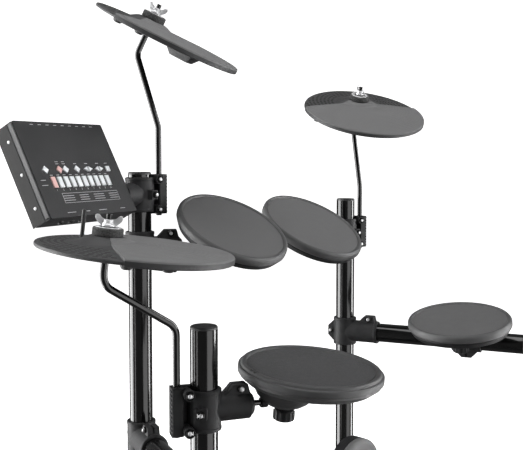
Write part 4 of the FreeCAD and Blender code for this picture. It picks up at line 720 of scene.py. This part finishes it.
# Pale grey on the side bevel: a painted highlight along the case's edge.
bevel_grey = coat("bevel_grey", (0.075, 0.075, 0.077), (0.095, 0.095, 0.097), grain=30.0,
                  rough=(0.35, 0.45), bump=0.2, bump_grain=1800.0)
skirt_black = coat("skirt_black", (0.008, 0.008, 0.008), (0.012, 0.012, 0.012), grain=30.0,
                   rough=(0.45, 0.55), bump=0.2, bump_grain=1800.0, Specular_IOR_Level=0.2)
socket_black = coat("socket_black", (0.006, 0.006, 0.006), (0.011, 0.011, 0.011), grain=80.0,
                    rough=(0.3, 0.45), bump=0.1, bump_grain=900.0)
key_white = coat("key_white", (0.70, 0.72, 0.74), (0.80, 0.82, 0.84), grain=80.0, rough=(0.35, 0.45),
                 bump=0.05, bump_grain=900.0)
key_pink = coat("key_pink", (0.66, 0.40, 0.38), (0.74, 0.46, 0.44), grain=80.0, rough=(0.35, 0.45),
                bump=0.05, bump_grain=900.0)
print_grey = coat("print_grey", (0.42, 0.42, 0.43), (0.52, 0.52, 0.53), grain=300.0, rough=(0.5, 0.6),
                  bump=0.05, bump_grain=900.0)
for node in ("module_case", "module_panel", "module_board"):
    dress(node, module_charcoal)
panel_half = 1.5
low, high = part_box("module_panel")
facing = -Vector(joints["menu_key_press"]["axis"])
panel_front = (Vector(low) + Vector(high)) / 2 + facing * panel_half * mm
face = axes(panel_front, joints["module_tilt"]["axis"], facing)


def key(shape, outline, x, y):
    """Adds one key cap: a straight prism with a softened top edge."""
    rings = []
    for z, grow in ((-10.5, 1.0), (1.1, 1.0), (1.45, 0.96), (1.6, 0.88)):
        rings.append([face @ Vector((x + px * grow, y + py * grow, z)) for px, py in outline])
    loft(shape, rings, False)


square = [(4.25, 4.25), (-4.25, 4.25), (-4.25, -4.25), (4.25, -4.25)]
diamond = [(6.01, 0), (0, 6.01), (-6.01, 0), (0, -6.01)]
bar = [(4.3, 8.5), (-4.3, 8.5), (-4.3, -8.5), (4.3, -8.5)]
left_arrow = [(4.25, 4.25), (-4.25, 0), (4.25, -4.25)]
right_arrow = [(-4.25, 4.25), (4.25, 0), (-4.25, -4.25)]
key_row, number_row = -2.295, -22.185
arrow_apart = 5.55
tempo_x, kit_x = 21.87, 47.48
number_columns = [-2.76 + 13.5 * (k - 4.5) for k in range(10)]
keys = {
    "menu_key": [(diamond, -71.7, key_row)],
    "song_keys": [(diamond, -42.16, key_row), (diamond, -28.57, key_row)],
    "click_key": [(diamond, -3.55, key_row)],
    "tempo_rocker": [(left_arrow, tempo_x - arrow_apart, key_row),
                     (right_arrow, tempo_x + arrow_apart, key_row)],
    "kit_rocker": [(left_arrow, kit_x - arrow_apart, key_row),
                   (right_arrow, kit_x + arrow_apart, key_row)],
    "save_key": [(square, 68.75, key_row)],
    "number_keys": [(bar, x, number_row) for x in number_columns],
}
for body, caps in keys.items():
    shape = bmesh.new()
    if body in ("song_keys", "number_keys"):
        first = bmesh.new()
        key(first, *caps[0])
        piece(body + "_first_cap", first, key_pink, body)
        caps = caps[1:]
    for cap in caps:
        key(shape, *cap)
    piece(body + "_caps", shape, key_white, body, (body,))

digit_drop = 13.4
shape = bmesh.new()
for k, x in enumerate(number_columns):
    digits = bpy.data.curves.new("digits", "FONT")
    digits.body = str(k + 1)
    digits.size = 4.6
    digits.align_x = "CENTER"
    digits.extrude = 0.08
    sign = bpy.data.objects.new("digits", digits)
    bpy.context.collection.objects.link(sign)
    graph = bpy.context.evaluated_depsgraph_get()
    print_mesh = bpy.data.meshes.new_from_object(sign.evaluated_get(graph), depsgraph=graph)
    print_mesh.transform(face @ Matrix.Translation((x, number_row - digit_drop, 0.04)))
    shape.from_mesh(print_mesh)
    bpy.data.objects.remove(sign)
box_lines = (((-57, 69), (-40.2, -39.7)), ((-57, 69), (-55.2, -54.7)), ((-57, -56.5), (-55, -40)),
             ((68.5, 69), (-55, -40)))
for x, y in box_lines:
    slab(shape, x, y, (-0.1, 0.12), 0.02, face)
label_row, title_row, socket_row, foot_row = key_row + 9.6, key_row + 13, 71.5, -70
labels = [(x, label_row, 3.2) for x in (-42.2, -28.6, -3.5, 21.9, 47.5, 68.8)]
labels += [(x, title_row, 3.2) for x in (-42.2, -28.6)]
labels += [(-84, number_row + 4, 5), (-84, number_row - 4, 6)]
labels += [(x, number_row + 11.6, 3.0) for x in number_columns]
labels += [(-62 + 16.5 * k, socket_row, 3.4) for k in range(9)]
labels += [(-45 + 34 * k, y, 12 - 2 * (k % 2)) for k in range(4) for y in (-44, -47.6, -51.2)]
labels += [(x, foot_row, half) for x, half in ((-52, 9), (-16, 4), (18, 9), (66, 6))]
for x, y, half in labels:
    slab(shape, (x - half, x + half), (y - 0.4, y + 0.4), (-0.1, 0.1), 0.02, face)
piece("module_print", shape, print_grey, "module", (), 30.0)

case_half, edge_half, socket_deep = 98.4, 76.5, -19.0
side = turned((0, 1, 0), (0, 0, -1), (-1, 0, 0), (-case_half, 0, 0))
# The bevel strip down the side carries a painted highlight.
shape = bmesh.new()
slab(shape, (-74, 74), (1.5, 9.0), (-0.4, 1.6), 0.6, face @ side)
piece("module_bevel", shape, bevel_grey, "module")
shape = bmesh.new()
slab(shape, (-75.5, 75.5), (11.5, 36.5), (-0.4, 0.5), 0.3, face @ side)
slab(shape, (-95.5, 95.5), (-73.6, 73.6), (-37.6, -35.9), 0.1, face)
piece("module_skirt", shape, skirt_black, "module")

jack = bmesh.new()
lathe(jack, rounded([(0, 0.2), (2.6, 0.2), (2.6, 1.6), (4.6, 1.6, 0.5), (4.8, 0, 0.3), (4.8, -1.0),
                     (0, -1.0)]), Matrix(), 24)
quarter = math.pi / 2
spots = []
for k in range(10):
    spot = Matrix.Translation((-78 + 16.6 * k, edge_half, socket_deep))
    spots.append(face @ spot @ Matrix.Rotation(-quarter, 4, "X"))
for k in range(3):
    spot = Matrix.Translation((-60 + 22 * k, -edge_half, socket_deep))
    spots.append(face @ spot @ Matrix.Rotation(quarter, 4, "X"))
shape = scatter("module_jack", jack, spots, socket_black)
piece("module_jacks", shape, socket_black, "module")
screw = bmesh.new()
lathe(screw, rounded([(0, 0.9), (2.3, 0.9, 0.5), (2.6, 0), (2.6, -0.6), (0, -0.6)]), Matrix(), 20)
spots = []
for y in (-52, 0, 52):
    spots.append(face @ Matrix.Translation((-98.5, y, -19.5)) @ Matrix.Rotation(-quarter, 4, "Y"))
piece("module_screws", scatter("module_screw", screw, spots, zinc), zinc, "module")

# Kick pad and pedals: a small round rubber pad in a shell on a floor stand, struck by a felt beater
# on a sprung axle that the ribbed footboard drives through a short link. The hi-hat's own pedal
# has the same ribbed board on a plain base.
pedal_black = coat("pedal_black", (0.012, 0.012, 0.012), (0.02, 0.02, 0.02), grain=60.0, rough=(0.3, 0.45),
                   bump=0.2, bump_grain=900.0, edge=0.001)
board_alloy = coat("board_alloy", (0.30, 0.30, 0.31), (0.42, 0.42, 0.43), grain=90.0, rough=(0.3, 0.45),
                   bump=0.1, bump_grain=900.0, edge=0.001, Metallic=1.0)
low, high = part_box("kick_pad_rubber")
kick_front = ((low[0] + high[0]) / 2, low[1], (low[2] + high[2]) / 2)
shape = bmesh.new()
lathe(shape, rounded([(0, -1), (46, -1, 2), (49, 0, 2), (54, 0, 3), (58, -3, 3), (58, -10, 1), (56.5, -11),
                      (0, -11)]), axes(kick_front, to_right, (0, -1, 0)), 96)
piece("kick_head", shape, head_grey, "rack", ("kick_pad_rubber",), 50.0)
dress("kick_pad_shell", shell_black)
for node in ("kick_stand", "pedal_frame", "hihat_pedal_base"):
    dress(node, pedal_black)
for node in ("pedal_footboard", "hihat_footboard", "drive_link"):
    dress(node, board_alloy)
dress("beater_axle", zinc)
swing = math.radians(38.0)
beater_arm = 214.0
beater = Vector(joints["beater_swing"]["pos_m"])
beater += Vector((0, -math.sin(swing), math.cos(swing))) * beater_arm * mm
shape = bmesh.new()
lathe(shape, rounded([(0, -18), (19, -18, 5), (22, -12, 4), (22, 12, 4), (19, 18, 5), (0, 18)]),
      axes(beater, to_right, (0, math.cos(swing), math.sin(swing))), 64)
piece("beater_felt", shape, felt_grey, "beater", ("beater_head",), 50.0)
first_tread, tread_pitch, board_face = 34, 13.5, 4.0
for name, body, hinge, slope_deg in (("pedal", "pedal_board", "pedal_press", 16.55),
                                     ("hihat", "hihat_board", "hihat_pedal_press", 15.0)):
    slope = math.radians(slope_deg)
    board = axes(joints[hinge]["pos_m"], to_right, (0, -math.sin(slope), math.cos(slope)))
    tread = bmesh.new()
    slab(tread, (-27, 27), (-2.6, 2.6), (-0.4, 1.3), 0.6)
    spots = [board @ Matrix.Translation((0, first_tread + tread_pitch * k, board_face)) for k in range(12)]
    shape = scatter(name + "_tread", tread, spots, foot_rubber)
    piece(name + "_treads", shape, foot_rubber, body)
